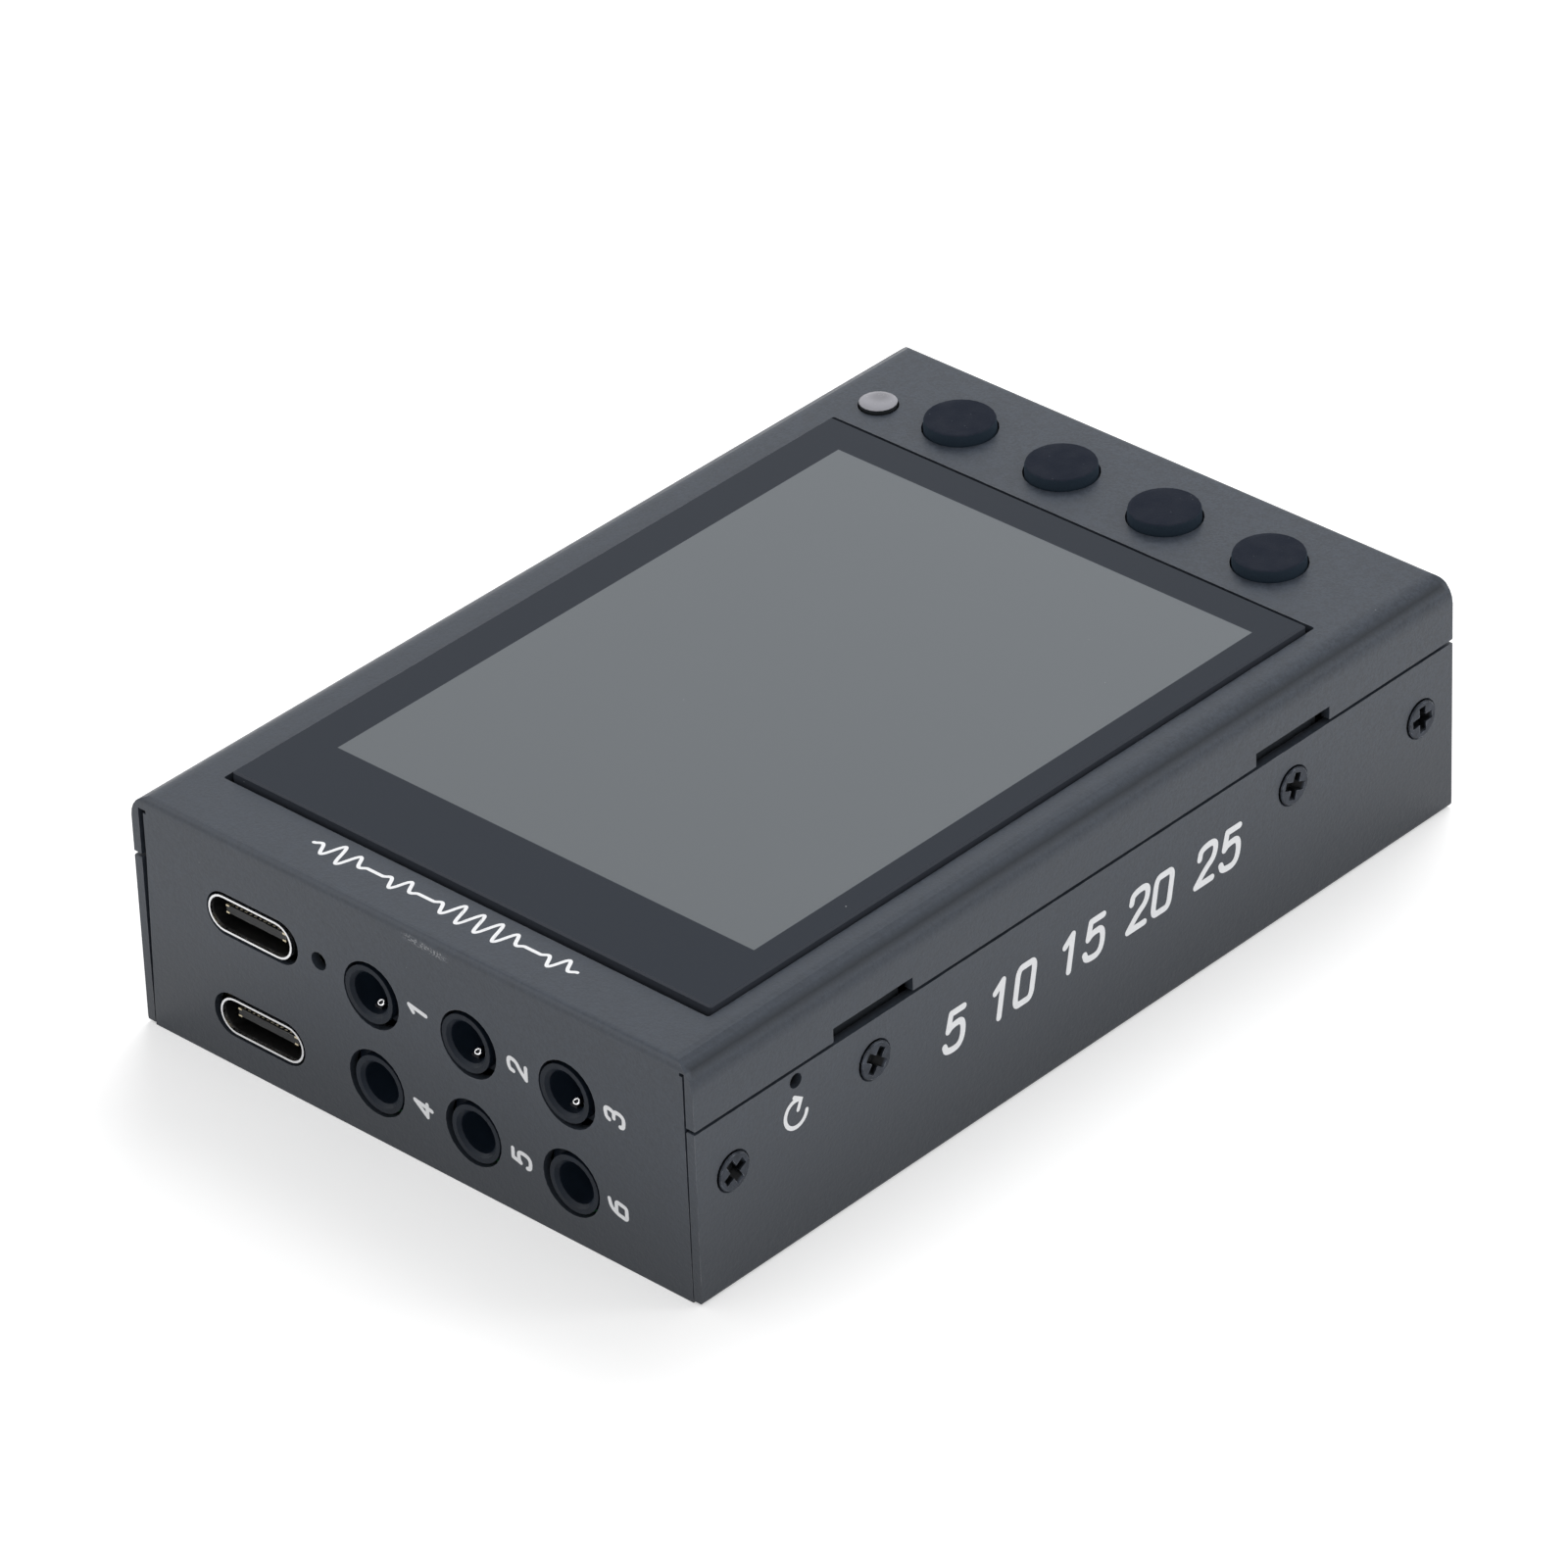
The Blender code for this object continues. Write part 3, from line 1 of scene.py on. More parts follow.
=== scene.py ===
"""Morse code trainer: finishes, printed marks, socket contacts and studio round the packed CAD model.

The add-on keeps every solid of the CAD model where it is and dresses it. Sizes and colours that a user may
want to change are properties, each group of like pieces has its own operator, and the panel in the 3D view's
sidebar lists them. Lengths are metres, colours are linear, +Z is up and the jacks look along -Y.
"""

import json
import math

import bmesh
import bpy
from mathutils import Euler, Matrix, Vector


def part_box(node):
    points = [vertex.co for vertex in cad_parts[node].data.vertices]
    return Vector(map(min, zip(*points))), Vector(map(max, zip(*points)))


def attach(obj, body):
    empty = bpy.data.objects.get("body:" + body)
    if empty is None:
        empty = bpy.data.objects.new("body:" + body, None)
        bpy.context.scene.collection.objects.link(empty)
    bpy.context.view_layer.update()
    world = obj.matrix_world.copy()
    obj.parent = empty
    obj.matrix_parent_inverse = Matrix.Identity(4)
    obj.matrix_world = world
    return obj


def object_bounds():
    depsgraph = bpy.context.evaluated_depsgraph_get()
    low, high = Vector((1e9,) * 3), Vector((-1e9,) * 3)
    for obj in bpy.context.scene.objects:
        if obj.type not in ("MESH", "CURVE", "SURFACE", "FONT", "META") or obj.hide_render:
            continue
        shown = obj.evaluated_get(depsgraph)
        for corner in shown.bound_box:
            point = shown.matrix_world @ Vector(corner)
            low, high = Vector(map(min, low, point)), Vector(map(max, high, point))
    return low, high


bl_info = {
    "name": "Morse Code Trainer Finishes",
    "version": (1, 0, 0),
    "blender": (4, 5, 0),
    "location": "View3D > Sidebar > Trainer",
    "description": "Dresses the frame of a pocket morse code trainer with finishes, marks and a studio",
    "category": "Object",
}

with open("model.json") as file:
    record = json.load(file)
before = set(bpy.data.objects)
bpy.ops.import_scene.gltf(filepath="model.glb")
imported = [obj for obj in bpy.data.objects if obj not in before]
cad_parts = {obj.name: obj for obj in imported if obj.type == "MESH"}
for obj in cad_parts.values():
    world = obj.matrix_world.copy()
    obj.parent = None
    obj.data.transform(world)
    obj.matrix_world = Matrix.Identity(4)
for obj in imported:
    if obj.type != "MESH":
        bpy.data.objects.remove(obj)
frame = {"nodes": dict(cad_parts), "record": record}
CAD_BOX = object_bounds()
NODES = frame["nodes"]
SLOTS = {part["node"]: part["material_slot"] for part in frame["record"]["subparts"]}
MM = 0.001
CASE_LOW, CASE_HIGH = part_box("upper_shell")
GLASS_LOW, GLASS_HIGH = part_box("touch_panel")
SIDE_FACE = CASE_HIGH.x
END_FACE = CASE_LOW.y
TOP_FACE = CASE_HIGH.z
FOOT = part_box("lower_shell")[0].z

# Shading: points nearer than the gap are one, and faces that meet at less than the angle look round
WELD_GAP = 0.001 * MM
SHARP_ANGLE = math.radians(34)

# Print: how far it is let into the coat, what it shows, and where each mark lies
PRINT_SINK = 0.002 * MM
SOCKET_FIGURES = (
    ("1", 0.90 * MM, 14.0 * MM), ("2", 11.20 * MM, 13.4 * MM), ("3", 21.10 * MM, 13.4 * MM),
    ("4", 0.90 * MM, 5.15 * MM), ("5", 11.10 * MM, 5.15 * MM), ("6", 21.00 * MM, 5.15 * MM),
)
SCALE_NUMBERS = ("5", "10", "15", "20", "25")
SCALE_PLACE = (SIDE_FACE, -16.9 * MM, 8.0 * MM)
WAVE_BEATS = (2, 5, 2, 3)
WAVE_REST = 0.8
WAVE_PLACE = (14.2 * MM, -39.9 * MM, TOP_FACE)
ARROW_PLACE = (SIDE_FACE, -32.9 * MM, 11.6 * MM)
ARROW_START, ARROW_SWEEP = 60, 290
ARROW_HEAD = ((-0.62, 0.40), (0.0, 0.0), (-0.30, -0.66))


def length(name, default, description, **more):
    """A property that holds a length in metres."""
    return bpy.props.FloatProperty(
        name=name, description=description, default=default, unit="LENGTH", precision=6, **more
    )


def quantity(name, default, description, **more):
    """A property that holds a number from nothing up."""
    return bpy.props.FloatProperty(name=name, description=description, default=default, min=0.0, **more)


def share(name, default, description):
    """A property that holds a share from nothing to all."""
    return quantity(name, default, description, max=1.0, subtype="FACTOR")


def location(name, default, description, subtype="TRANSLATION"):
    """A property that holds a place in metres."""
    return bpy.props.FloatVectorProperty(
        name=name, description=description, default=default, size=len(default), subtype=subtype,
        unit="LENGTH", precision=6,
    )


def tint(name, default, description):
    """A property that holds a linear colour."""
    return bpy.props.FloatVectorProperty(
        name=name, description=description, default=default, size=3, min=0.0, max=1.0, subtype="COLOR"
    )


class CoatFinish(bpy.types.PropertyGroup):
    """The powder coat of the folded sheet-metal shells."""

    colour: tint("Coat Colour", (0.0440, 0.0530, 0.0685), "Colour of the powder coat")
    gloss: share("Coat Gloss", 0.35, "How strongly the coat mirrors; a half is plain lacquer")
    rubbed: tint("Rubbed Colour", (0.33, 0.34, 0.36), "Colour of the coat where an edge has been rubbed")
    # Painted shade: the coat is painted dark inside the shells, from the start depth to the full depth
    # below.
    inside: tint("Inside Colour", (0.013, 0.016, 0.020), "Colour of the thin coat inside the shells")
    inside_start: length("Inside Start", 0.00030, "Depth at which the coat starts to thin out")
    inside_full: length("Inside Full", 0.00075, "Depth from which the coat is thin")
    mottle_size: length("Mottle Size", 0.0006, "Width of the soft mottling of the coat")
    roughness: share("Roughness", 0.36, "How matt the coat is")
    grain_size: length("Grain Size", 0.00022, "Width of one grain of the coat")
    grain_height: length("Grain Height", 0.000022, "How far the grains stand up")
    blotch_size: length("Blotch Size", 0.0045, "Width of the faint clouds in the coat")
    rub_width: length("Rub Width", 0.00012, "How far an edge's wear reaches")
    scuff_place: length("Scuff Place", 0.0021, "Where the scuff above the jacks lies, across the case")
    scuff_drop: length("Scuff Drop", 0.00098, "How far the scuff lies below the top")
    scuff_length: length("Scuff Length", 0.0050, "Length of the scuff")
    scuff_slope: quantity("Scuff Slope", 0.07, "How far the scuff drops for each part of its length")
    speck_cell: length("Speck Spacing", 0.0013, "Distance between dust specks")


class DisplayFinish(bpy.types.PropertyGroup):
    """The cover glass of the display and the picture area behind it."""

    border: tint("Border Colour", (0.0020, 0.0080, 0.0190), "Colour printed behind the border of the glass")
    # Painted reflection: the picture area's grey stands for the pale room mirrored in the dark screen.
    picture: tint("Picture Colour", (0.132, 0.146, 0.159), "Colour of the dark picture area")
    edge: tint("Glass Edge Colour", (0.032, 0.037, 0.048), "Colour of the sawn and ground glass edge")
    roughness: share("Roughness", 0.07, "How blurred the reflection in the glass is")
    left_border: length("Left Border", 0.00391, "Glass edge to picture area on the left")
    right_border: length("Right Border", 0.00257, "Glass edge to picture area on the right")
    near_border: length("Near Border", 0.00748, "Glass edge to picture area at the jack end")
    far_border: length("Far Border", 0.00345, "Glass edge to picture area at the button end")
    print_blur: length("Print Blur", 0.00005, "Softness of the border's printed edge")
    speck_cell: length("Speck Spacing", 0.0026, "Distance between dust specks on the glass")


class ButtonFinish(bpy.types.PropertyGroup):
    """The rubber caps and the small moulded plastic parts."""

    rubber: tint("Rubber Colour", (0.0066, 0.0094, 0.0172), "Colour of the button caps")
    # Painted light: the sides of the caps are painted lighter than their tops.
    flank: tint("Flank Colour", (0.0205, 0.0340, 0.0490), "Colour of the sides of the caps")
    dust: tint("Dust Colour", (0.080, 0.086, 0.100), "Colour of the dust that the rubber holds")
    roughness: share("Rubber Roughness", 0.62, "How matt the caps are")
    grain_size: length("Grain Size", 0.00016, "Width of one grain of the rubber")
    plastic: tint("Black Plastic", (0.0078, 0.0120, 0.0195), "Colour of the moulded sockets")
    # Painted light: how much paler the plastic is painted deep in a jack, standing for light in the bores.
    deep: quantity("Dust in Jacks", 2.4, "How much paler dust makes the plastic deep in a jack")
    tongue: tint("Tongue Plastic", (0.016, 0.0165, 0.0175), "Colour of the tongues in the charging sockets")
    grey: tint("Grey Plastic", (0.105, 0.107, 0.112), "Colour of the switch bodies")


class LightFinish(bpy.types.PropertyGroup):
    """The milky status light, charge light and reset plunger."""

    milk: tint("Milky Colour", (0.300, 0.300, 0.332), "Colour of the frosted lens")
    core: tint("Core Colour", (0.195, 0.195, 0.217), "Colour over the dark chip inside the status light")
    # Painted shade: the lens is painted this dark colour where it faces sideways.
    skirt: tint("Skirt Colour", (0.020, 0.023, 0.026), "Colour of the clear rim under the lens")
    chip_place: location("Chip Place", (-0.0235, 0.0355), "Where the status light's chip lies", "XYZ")
    chip_radius: length("Chip Radius", 0.0013, "How far the chip's dark spot reaches")


class MetalFinish(bpy.types.PropertyGroup):
    """Steel, brass, gold and the screws' black oxide."""

    steel: tint("Bright Steel", (0.74, 0.74, 0.75), "Colour of the socket shells")
    brass: tint("Brass", (0.56, 0.39, 0.17), "Colour of springs and spacers")
    gold: tint("Contact Metal", (0.70, 0.62, 0.44), "Colour of the flat contacts on the socket tongues")
    spring: tint("Spring Steel", (0.10, 0.10, 0.11), "Colour of the springs in the jacks")
    polished: tint("Polished Tip", (0.86, 0.86, 0.87), "Colour of the rings on the springs' noses")
    oxide: tint("Black Oxide", (0.036, 0.042, 0.054), "Colour of the screw heads")
    contact_width: length("Contact Width", 0.00028, "Width of one flat contact")
    contact_pitch: length("Contact Pitch", 0.0005, "Distance from one flat contact to the next")
    contact_height: length("Contact Height", 0.00003, "How far a contact stands out of its tongue")
    contact_length: length("Contact Length", 0.0037, "Length of one flat contact")
    contact_inset: length("Contact Inset", 0.0001, "Distance from the front of a tongue to its contacts")
    tongue_width: length("Tongue Width", 0.0064, "Width of the tongue in a charging socket")
    tongue_thickness: length("Tongue Thickness", 0.0007, "Thickness of that tongue")
    latch_width: length("Lug Width", 0.00034, "Width of the folded lug at each front corner of a tongue")
    tip_radius: length("Spring Tip Radius", 0.00024, "Radius of the ring in the nose of a jack's spring")
    tip_wire: length("Spring Tip Roll", 0.00009, "Radius of the roll of that ring")
    tip_inset: length("Spring Tip Inset", 0.00035, "Front of the spring to the ring's middle")
    contact_count: bpy.props.IntProperty(
        name="Contact Count", description="Flat contacts on each side of a tongue",
        default=12, min=1, max=24,
    )


class InsideFinish(bpy.types.PropertyGroup):
    """The boards, the battery and its leads, which the closed case hides."""

    board: tint("Board Green", (0.010, 0.085, 0.034), "Colour of the solder resist")
    track: tint("Track Green", (0.022, 0.150, 0.060), "Colour of the resist over a copper track")
    foil: tint("Battery Foil", (0.46, 0.47, 0.49), "Colour of the battery's foil pouch")
    bezel: tint("Display Frame", (0.50, 0.51, 0.53), "Colour of the pressed frame of the display")
    red: tint("Red Insulation", (0.46, 0.022, 0.020), "Colour of the red lead")
    track_size: length("Track Spacing", 0.0024, "Distance between the tracks of a board")


class MarkSettings(bpy.types.PropertyGroup):
    """The white print: plain numbers, a scale, a tone wave and a turning arrow."""

    ink: tint("Ink Colour", (0.92, 0.93, 0.95), "Colour of the print")
    ink_height: length("Ink Thickness", 0.00002, "How far the print stands on the coat")
    slant: share("Slant", 0.2, "How far a figure leans for each part of its height")
    socket_height: length("Socket Figure Height", 0.0021, "Height of the figures beside the jacks")
    socket_line: length("Socket Figure Line", 0.00036, "Line width of the figures beside the jacks")
    scale_height: length("Scale Figure Height", 0.0037, "Height of the figures on the long side")
    scale_line: length("Scale Figure Line", 0.00058, "Line width of the figures on the long side")
    scale_pitch: length("Scale Figure Pitch", 0.0029, "Distance from one figure of the scale to the next")
    scale_gap: length("Scale Gap", 0.0022, "Extra distance between the numbers of the scale")
    wave_line: length("Wave Line", 0.00031, "Line width of the tone wave on the top")
    wave_swing: length("Wave Swing", 0.00105, "Height of the tone wave above its middle")
    wave_pitch: length("Wave Pitch", 0.0019, "Length of one beat of the tone wave")
    arrow_radius: length("Arrow Radius", 0.00118, "Radius of the turning arrow by the reset hole")
    arrow_line: length("Arrow Line", 0.00036, "Line width of the turning arrow")


class StudioSettings(bpy.types.PropertyGroup):
    """Floor, lamps and camera."""

    floor: tint("Floor Colour", (0.82, 0.82, 0.82), "Colour of the floor")
    lift: quantity("Floor Lift", 0.42, "Light that the floor adds where it is seen")
    floor_size: length("Floor Size", 6.0, "Width of the floor")
    floor_drop: length("Floor Drop", 0.00003, "Gap between the floor and the foot of the case")
    ambient: quantity("Ambient Light", 0.66, "Strength of the light from all round")
    bright_side: share("Bright Side", 1.0, "How bright the backdrop on the left is where gloss shows it")
    dark_side: share("Dark Side", 0.72, "How bright the backdrop on the right is where gloss shows it")
    near_side: quantity("Near Side", 2.0, "How much brighter the backdrop is behind the camera")
    key_power: quantity("Key Power", 5.0, "Power of the large lamp above", subtype="POWER")
    key_place: location("Key Place", (-0.30, 0.58, 0.76), "Where the large lamp hangs")
    key_size: length("Key Size", 0.6, "Width of the large lamp")
    side_power: quantity("Side Power", 1.3, "Power of the lamp beside the long side", subtype="POWER")
    side_place: location("Side Place", (0.68, 0.607, 0.41), "Where the side lamp stands")
    side_size: length("Side Size", 0.25, "Width of the side lamp")
    side_glow: quantity("Side Glow", 2.0, "Brightness of the glow that gloss shows for the side lamp")
    glow_spread: quantity("Glow Spread", 0.33, "Angle from the glow's middle to its edge", subtype="ANGLE")
    camera_place: location("Camera Place", (0.423511, -0.446084, 0.411949), "Where the camera stands")
    camera_turn: bpy.props.FloatVectorProperty(
        name="Camera Turn", description="Which way the camera looks",
        default=(0.9939592, 0.0325025, 0.7407859), size=3, subtype="EULER", precision=6,
    )
    focal: quantity("Focal Length", 217.09, "Focal length on a 36 mm sensor", unit="CAMERA")


class Wiring:
    """Adds nodes to one node tree and joins them."""

    def __init__(self, tree):
        self.tree = tree

    def add(self, kind, inputs=None, **settings):
        """Adds a node with its settings and with values or links for its inputs."""
        made = self.tree.nodes.new(kind)
        for key, value in settings.items():
            setattr(made, key, value)
        for key, value in (inputs or {}).items():
            self.put(made, key, value)
        return made

    def put(self, made, key, value):
        """Gives an input of a node a plain value, or links it to another node's output."""
        socket = made.inputs[key]
        if isinstance(value, bpy.types.NodeSocket):
            self.tree.links.new(value, socket)
        else:
            socket.default_value = value

    def maths(self, operation, *values, clamp=False):
        """One sum with numbers, by the name that its node uses."""
        inputs = dict(enumerate(values))
        return self.add("ShaderNodeMath", inputs, operation=operation, use_clamp=clamp).outputs[0]

    def times(self, first, second, clamp=False):
        """One number times another."""
        return self.maths("MULTIPLY", first, second, clamp=clamp)

    def vector(self, operation, first, second=None, scale=None):
        """One sum with vectors, by the name that its node uses."""
        made = self.add("ShaderNodeVectorMath", operation=operation)
        self.put(made, 0, first)
        if second is not None:
            self.put(made, 1, second)
        if scale is not None:
            self.put(made, "Scale", scale)
        return made.outputs["Value" if operation == "DOT_PRODUCT" else "Vector"]

    def ramp(self, value, low, high, start=0.0, end=1.0, smooth=False):
        """Goes from start to end while the value goes from low to high, and stays there."""
        inputs = {"Value": value, "From Min": low, "From Max": high, "To Min": start, "To Max": end}
        smoothing = "SMOOTHSTEP" if smooth else "LINEAR"
        return self.add("ShaderNodeMapRange", inputs, interpolation_type=smoothing).outputs["Result"]

    def span(self, value, start, end):
        """Goes from start to end while the value goes from nought to one."""
        return self.ramp(value, 0.0, 1.0, start, end)

    def parts(self, vector):
        """The X, Y and Z of a vector."""
        return self.add("ShaderNodeSeparateXYZ", {"Vector": vector}).outputs

    def blend(self, factor, first, second):
        """Mixes two colours: the first at nought and the second at one."""
        made = self.add("ShaderNodeMix", data_type="RGBA", clamp_factor=True)
        self.put(made, 0, factor)
        self.put(made, 6, first if isinstance(first, bpy.types.NodeSocket) else (*first, 1.0))
        self.put(made, 7, second if isinstance(second, bpy.types.NodeSocket) else (*second, 1.0))
        return made.outputs[2]

    def noise(self, place, detail=2.0, roughness=0.5):
        """Cloudy noise, one lump for each step of the place."""
        inputs = {"Vector": place, "Scale": 1.0, "Detail": detail, "Roughness": roughness}
        return self.add("ShaderNodeTexNoise", inputs).outputs["Fac"]


def built_once(build):
    """Lets a function build its node group once. Later calls find the group by the function's name."""
    def group():
        return bpy.data.node_groups.get(build.__name__) or build(build.__name__)

    return group


def new_group(name, inputs, outputs):
    """An empty node group with its sockets. Returns its wiring, its inputs by name and its output node."""
    tree = bpy.data.node_groups.new(name, "ShaderNodeTree")
    for label, default in inputs.items():
        kind = "NodeSocketVector" if isinstance(default, tuple) else "NodeSocketFloat"
        tree.interface.new_socket(name=label, in_out="INPUT", socket_type=kind).default_value = default
    for label in outputs:
        tree.interface.new_socket(name=label, in_out="OUTPUT", socket_type="NodeSocketFloat")
    wires = Wiring(tree)
    start = wires.add("NodeGroupInput")
    end = wires.add("NodeGroupOutput")
    return wires, start.outputs, end


def object_place(wires):
    """The point on the object, in metres."""
    return wires.add("ShaderNodeTexCoord").outputs["Object"]


def facing_up(wires, normal="Normal"):
    """How far the surface faces up, from -1 to 1."""
    return wires.parts(wires.add("ShaderNodeNewGeometry").outputs[normal])["Z"]


def scaled_place(wires, size):
    """The point on the object, counted in steps of a size."""
    return wires.vector("SCALE", object_place(wires), scale=wires.maths("DIVIDE", 1.0, size))


@built_once
def fine_grain(name):
    """The group for coat grain, moulded grain and the faint clouds in a finish."""
    sizes = {"Grain Size": 0.0002, "Blotch Size": 0.004}
    wires, given, end = new_group(name, sizes, ("Height", "Tone", "Blotch"))
    grain = wires.noise(scaled_place(wires, given["Grain Size"]), 3.0, 0.62)
    pits = wires.add("ShaderNodeTexVoronoi", {"Scale": 1.0, "Randomness": 1.0}, feature="SMOOTH_F1")
    wires.put(pits, "Vector", scaled_place(wires, wires.times(given["Grain Size"], 1.7)))
    wires.put(end, "Height", wires.maths("MULTIPLY_ADD", pits.outputs["Distance"], 0.55, grain))
    wires.put(end, "Tone", wires.ramp(grain, 0.32, 0.68))
    cloud = wires.noise(scaled_place(wires, given["Blotch Size"]), 2.5, 0.55)
    wires.put(end, "Blotch", wires.ramp(cloud, 0.3, 0.7))
    return wires.tree


@built_once
def edge_rub(name):
    """The group for wear along edges: a mask that is broken up as real rubbing is."""
    wires, given, end = new_group(name, {"Width": 0.0001, "Patch Size": 0.002, "Amount": 0.5}, ("Mask",))
    rounded = wires.add("ShaderNodeBevel", {"Radius": given["Width"]}, samples=4).outputs["Normal"]
    flat = wires.add("ShaderNodeNewGeometry").outputs["Normal"]
    turned = wires.maths("SUBTRACT", 1.0, wires.vector("DOT_PRODUCT", rounded, flat))
    edge = wires.ramp(turned, 0.015, 0.16, smooth=True)
    broken = wires.ramp(wires.noise(scaled_place(wires, given["Patch Size"]), 4.0, 0.6), 0.44, 0.66)
    mask = wires.times(wires.times(edge, broken), given["Amount"], clamp=True)
    wires.put(end, "Mask", mask)
    return wires.tree


@built_once
def dust_specks(name):
    """The group for scattered dust: small soft dots, most cells bare."""
    sizes = {"Cell Size": 0.001, "Share": 0.2, "Speck Size": 0.00005}
    wires, given, end = new_group(name, sizes, ("Mask",))
    cells = wires.add("ShaderNodeTexVoronoi", {"Scale": 1.0, "Randomness": 1.0}, feature="F1")
    wires.put(cells, "Vector", scaled_place(wires, given["Cell Size"]))
    chance = wires.add("ShaderNodeSeparateColor", {"Color": cells.outputs["Color"]}).outputs
    reach = wires.maths("DIVIDE", given["Speck Size"], given["Cell Size"])
    reach = wires.times(reach, wires.span(chance["Green"], 0.45, 1.5))
    heart = wires.times(reach, 0.4)
    dot = wires.ramp(cells.outputs["Distance"], heart, reach, 1.0, 0.0, smooth=True)
    kept = wires.maths("LESS_THAN", chance["Red"], given["Share"])
    wires.put(end, "Mask", wires.times(dot, kept, clamp=True))
    return wires.tree


@built_once
def drawn_lines(name):
    """The group for drawn and rolled metal: fine lines along one direction."""
    sizes = {"Line Width": 0.00005, "Direction": (0.05, 1.0, 1.0)}
    wires, given, end = new_group(name, sizes, ("Height", "Tone"))
    place = wires.vector("MULTIPLY", scaled_place(wires, given["Line Width"]), given["Direction"])
    lines = wires.noise(place, 3.0, 0.6)
    wires.put(end, "Height", lines)
    wires.put(end, "Tone", wires.ramp(lines, 0.34, 0.66))
    return wires.tree


def grow(wires, tree, *values):
    """Places a group in a material with values for its inputs, in their order."""
    return wires.add("ShaderNodeGroup", dict(enumerate(values)), node_tree=tree).outputs


def grained(wires, grain_size, blotch_size):
    """The coat's or moulding's grain: its height, its tone and its faint clouds."""
    return grow(wires, fine_grain(), grain_size, blotch_size)


def rubbed(wires, width, patch_size, amount):
    """A mask of worn edges."""
    return grow(wires, edge_rub(), width, patch_size, amount)["Mask"]


def dusted(wires, cell_size, share_kept, speck_size):
    """A mask of dust specks."""
    return grow(wires, dust_specks(), cell_size, share_kept, speck_size)["Mask"]


def shade(colour, factor):
    """A colour made darker or paler."""
    return [min(1.0, factor * part) for part in colour]


def new_finish(name):
    """A material with a Principled shader and its output. Returns material, wiring and shader."""
    finish = bpy.data.materials.new(name)
    finish.use_nodes = True
    finish.node_tree.nodes.clear()
    wires = Wiring(finish.node_tree)
    shader = wires.add("ShaderNodeBsdfPrincipled")
    wires.add("ShaderNodeOutputMaterial", {"Surface": shader.outputs["BSDF"]})
    return finish, wires, shader


def set_bump(wires, shader, height, depth, strength):
    """Feeds a height to the shader's normal through a bump of a depth in metres."""
    bump = wires.add("ShaderNodeBump", {"Height": height, "Distance": depth, "Strength": strength})
    wires.put(shader, "Normal", bump.outputs["Normal"])


def coat_finish(coat):
    """Satin powder coat: fine grain, faint clouds, rubbed edges, a little dust, painted shade and painted
    glints.
    """
    finish, wires, shader = new_finish("powder_coat")
    grain = grained(wires, coat.grain_size, coat.blotch_size)
    rub = rubbed(wires, coat.rub_width, patch_size=0.0016, amount=0.35)
    dust = dusted(wires, coat.speck_cell, share_kept=0.10, speck_size=0.00006)
    mottle = grained(wires, coat.mottle_size, blotch_size=0.014)
    tone = wires.maths("MULTIPLY_ADD", mottle["Tone"], 0.5, wires.times(grain["Tone"], 0.5))
    # Painted glints: the grain's contrast grows towards the button end, standing for the sparkle of a
    # grazing lamp.
    along = wires.parts(object_place(wires))["Y"]
    glint_contrast = wires.ramp(along, -10.0 * MM, -END_FACE, 1.2, 2.6, smooth=True)
    tone = wires.maths("MULTIPLY_ADD", wires.maths("SUBTRACT", tone, 0.5), glint_contrast, 0.5, clamp=True)
    colour = wires.blend(tone, shade(coat.colour, 0.84), shade(coat.colour, 1.18))
    colour = wires.blend(wires.span(grain["Blotch"], 0.0, 0.18), colour, shade(coat.colour, 0.72))
    foot, inside_shade = foot_and_inside(wires, coat)
    # Painted shade: the coat is painted darker towards the foot of the case.
    colour = wires.blend(foot, shade(coat.colour, 0.66), colour)
    # Painted shade: inside the shells the coat is painted dark.
    colour = wires.blend(inside_shade, colour, coat.inside)
    colour = wires.blend(rub, colour, coat.rubbed)
    colour = wires.blend(wires.times(dust, 0.45), colour, coat.rubbed)
    wires.put(shader, "Base Color", wires.blend(bend_scuff(wires, coat), colour, coat.rubbed))
    matt = wires.span(mottle["Tone"], coat.roughness - 0.05, coat.roughness + 0.06)
    matt = wires.maths("MULTIPLY_ADD", inside_shade, 0.3, wires.maths("MULTIPLY_ADD", rub, -0.08, matt))
    wires.put(shader, "Roughness", matt)
    wires.put(shader, "Specular IOR Level", coat.gloss)
    set_bump(wires, shader, grain["Height"], coat.grain_height, strength=0.8)
    return finish


def foot_and_inside(wires, coat):
    """Two masks of painted shade: one grows up from the foot, where the coat is painted darker, and the
    other lies inside the shells, where the coat is painted dark.
    """
    place = wires.parts(object_place(wires))
    foot = wires.ramp(place["Z"], FOOT, 0.7 * TOP_FACE, smooth=True)
    across = wires.maths("SUBTRACT", SIDE_FACE, wires.maths("ABSOLUTE", place["X"]))
    along = wires.maths("SUBTRACT", -END_FACE, wires.maths("ABSOLUTE", place["Y"]))
    depth = wires.maths("MINIMUM", across, along)
    depth = wires.maths("MINIMUM", depth, wires.maths("SUBTRACT", TOP_FACE, place["Z"]))
    depth = wires.maths("MINIMUM", depth, wires.maths("SUBTRACT", place["Z"], FOOT))
    return foot, wires.ramp(depth, coat.inside_start, coat.inside_full, 0.0, 0.9)


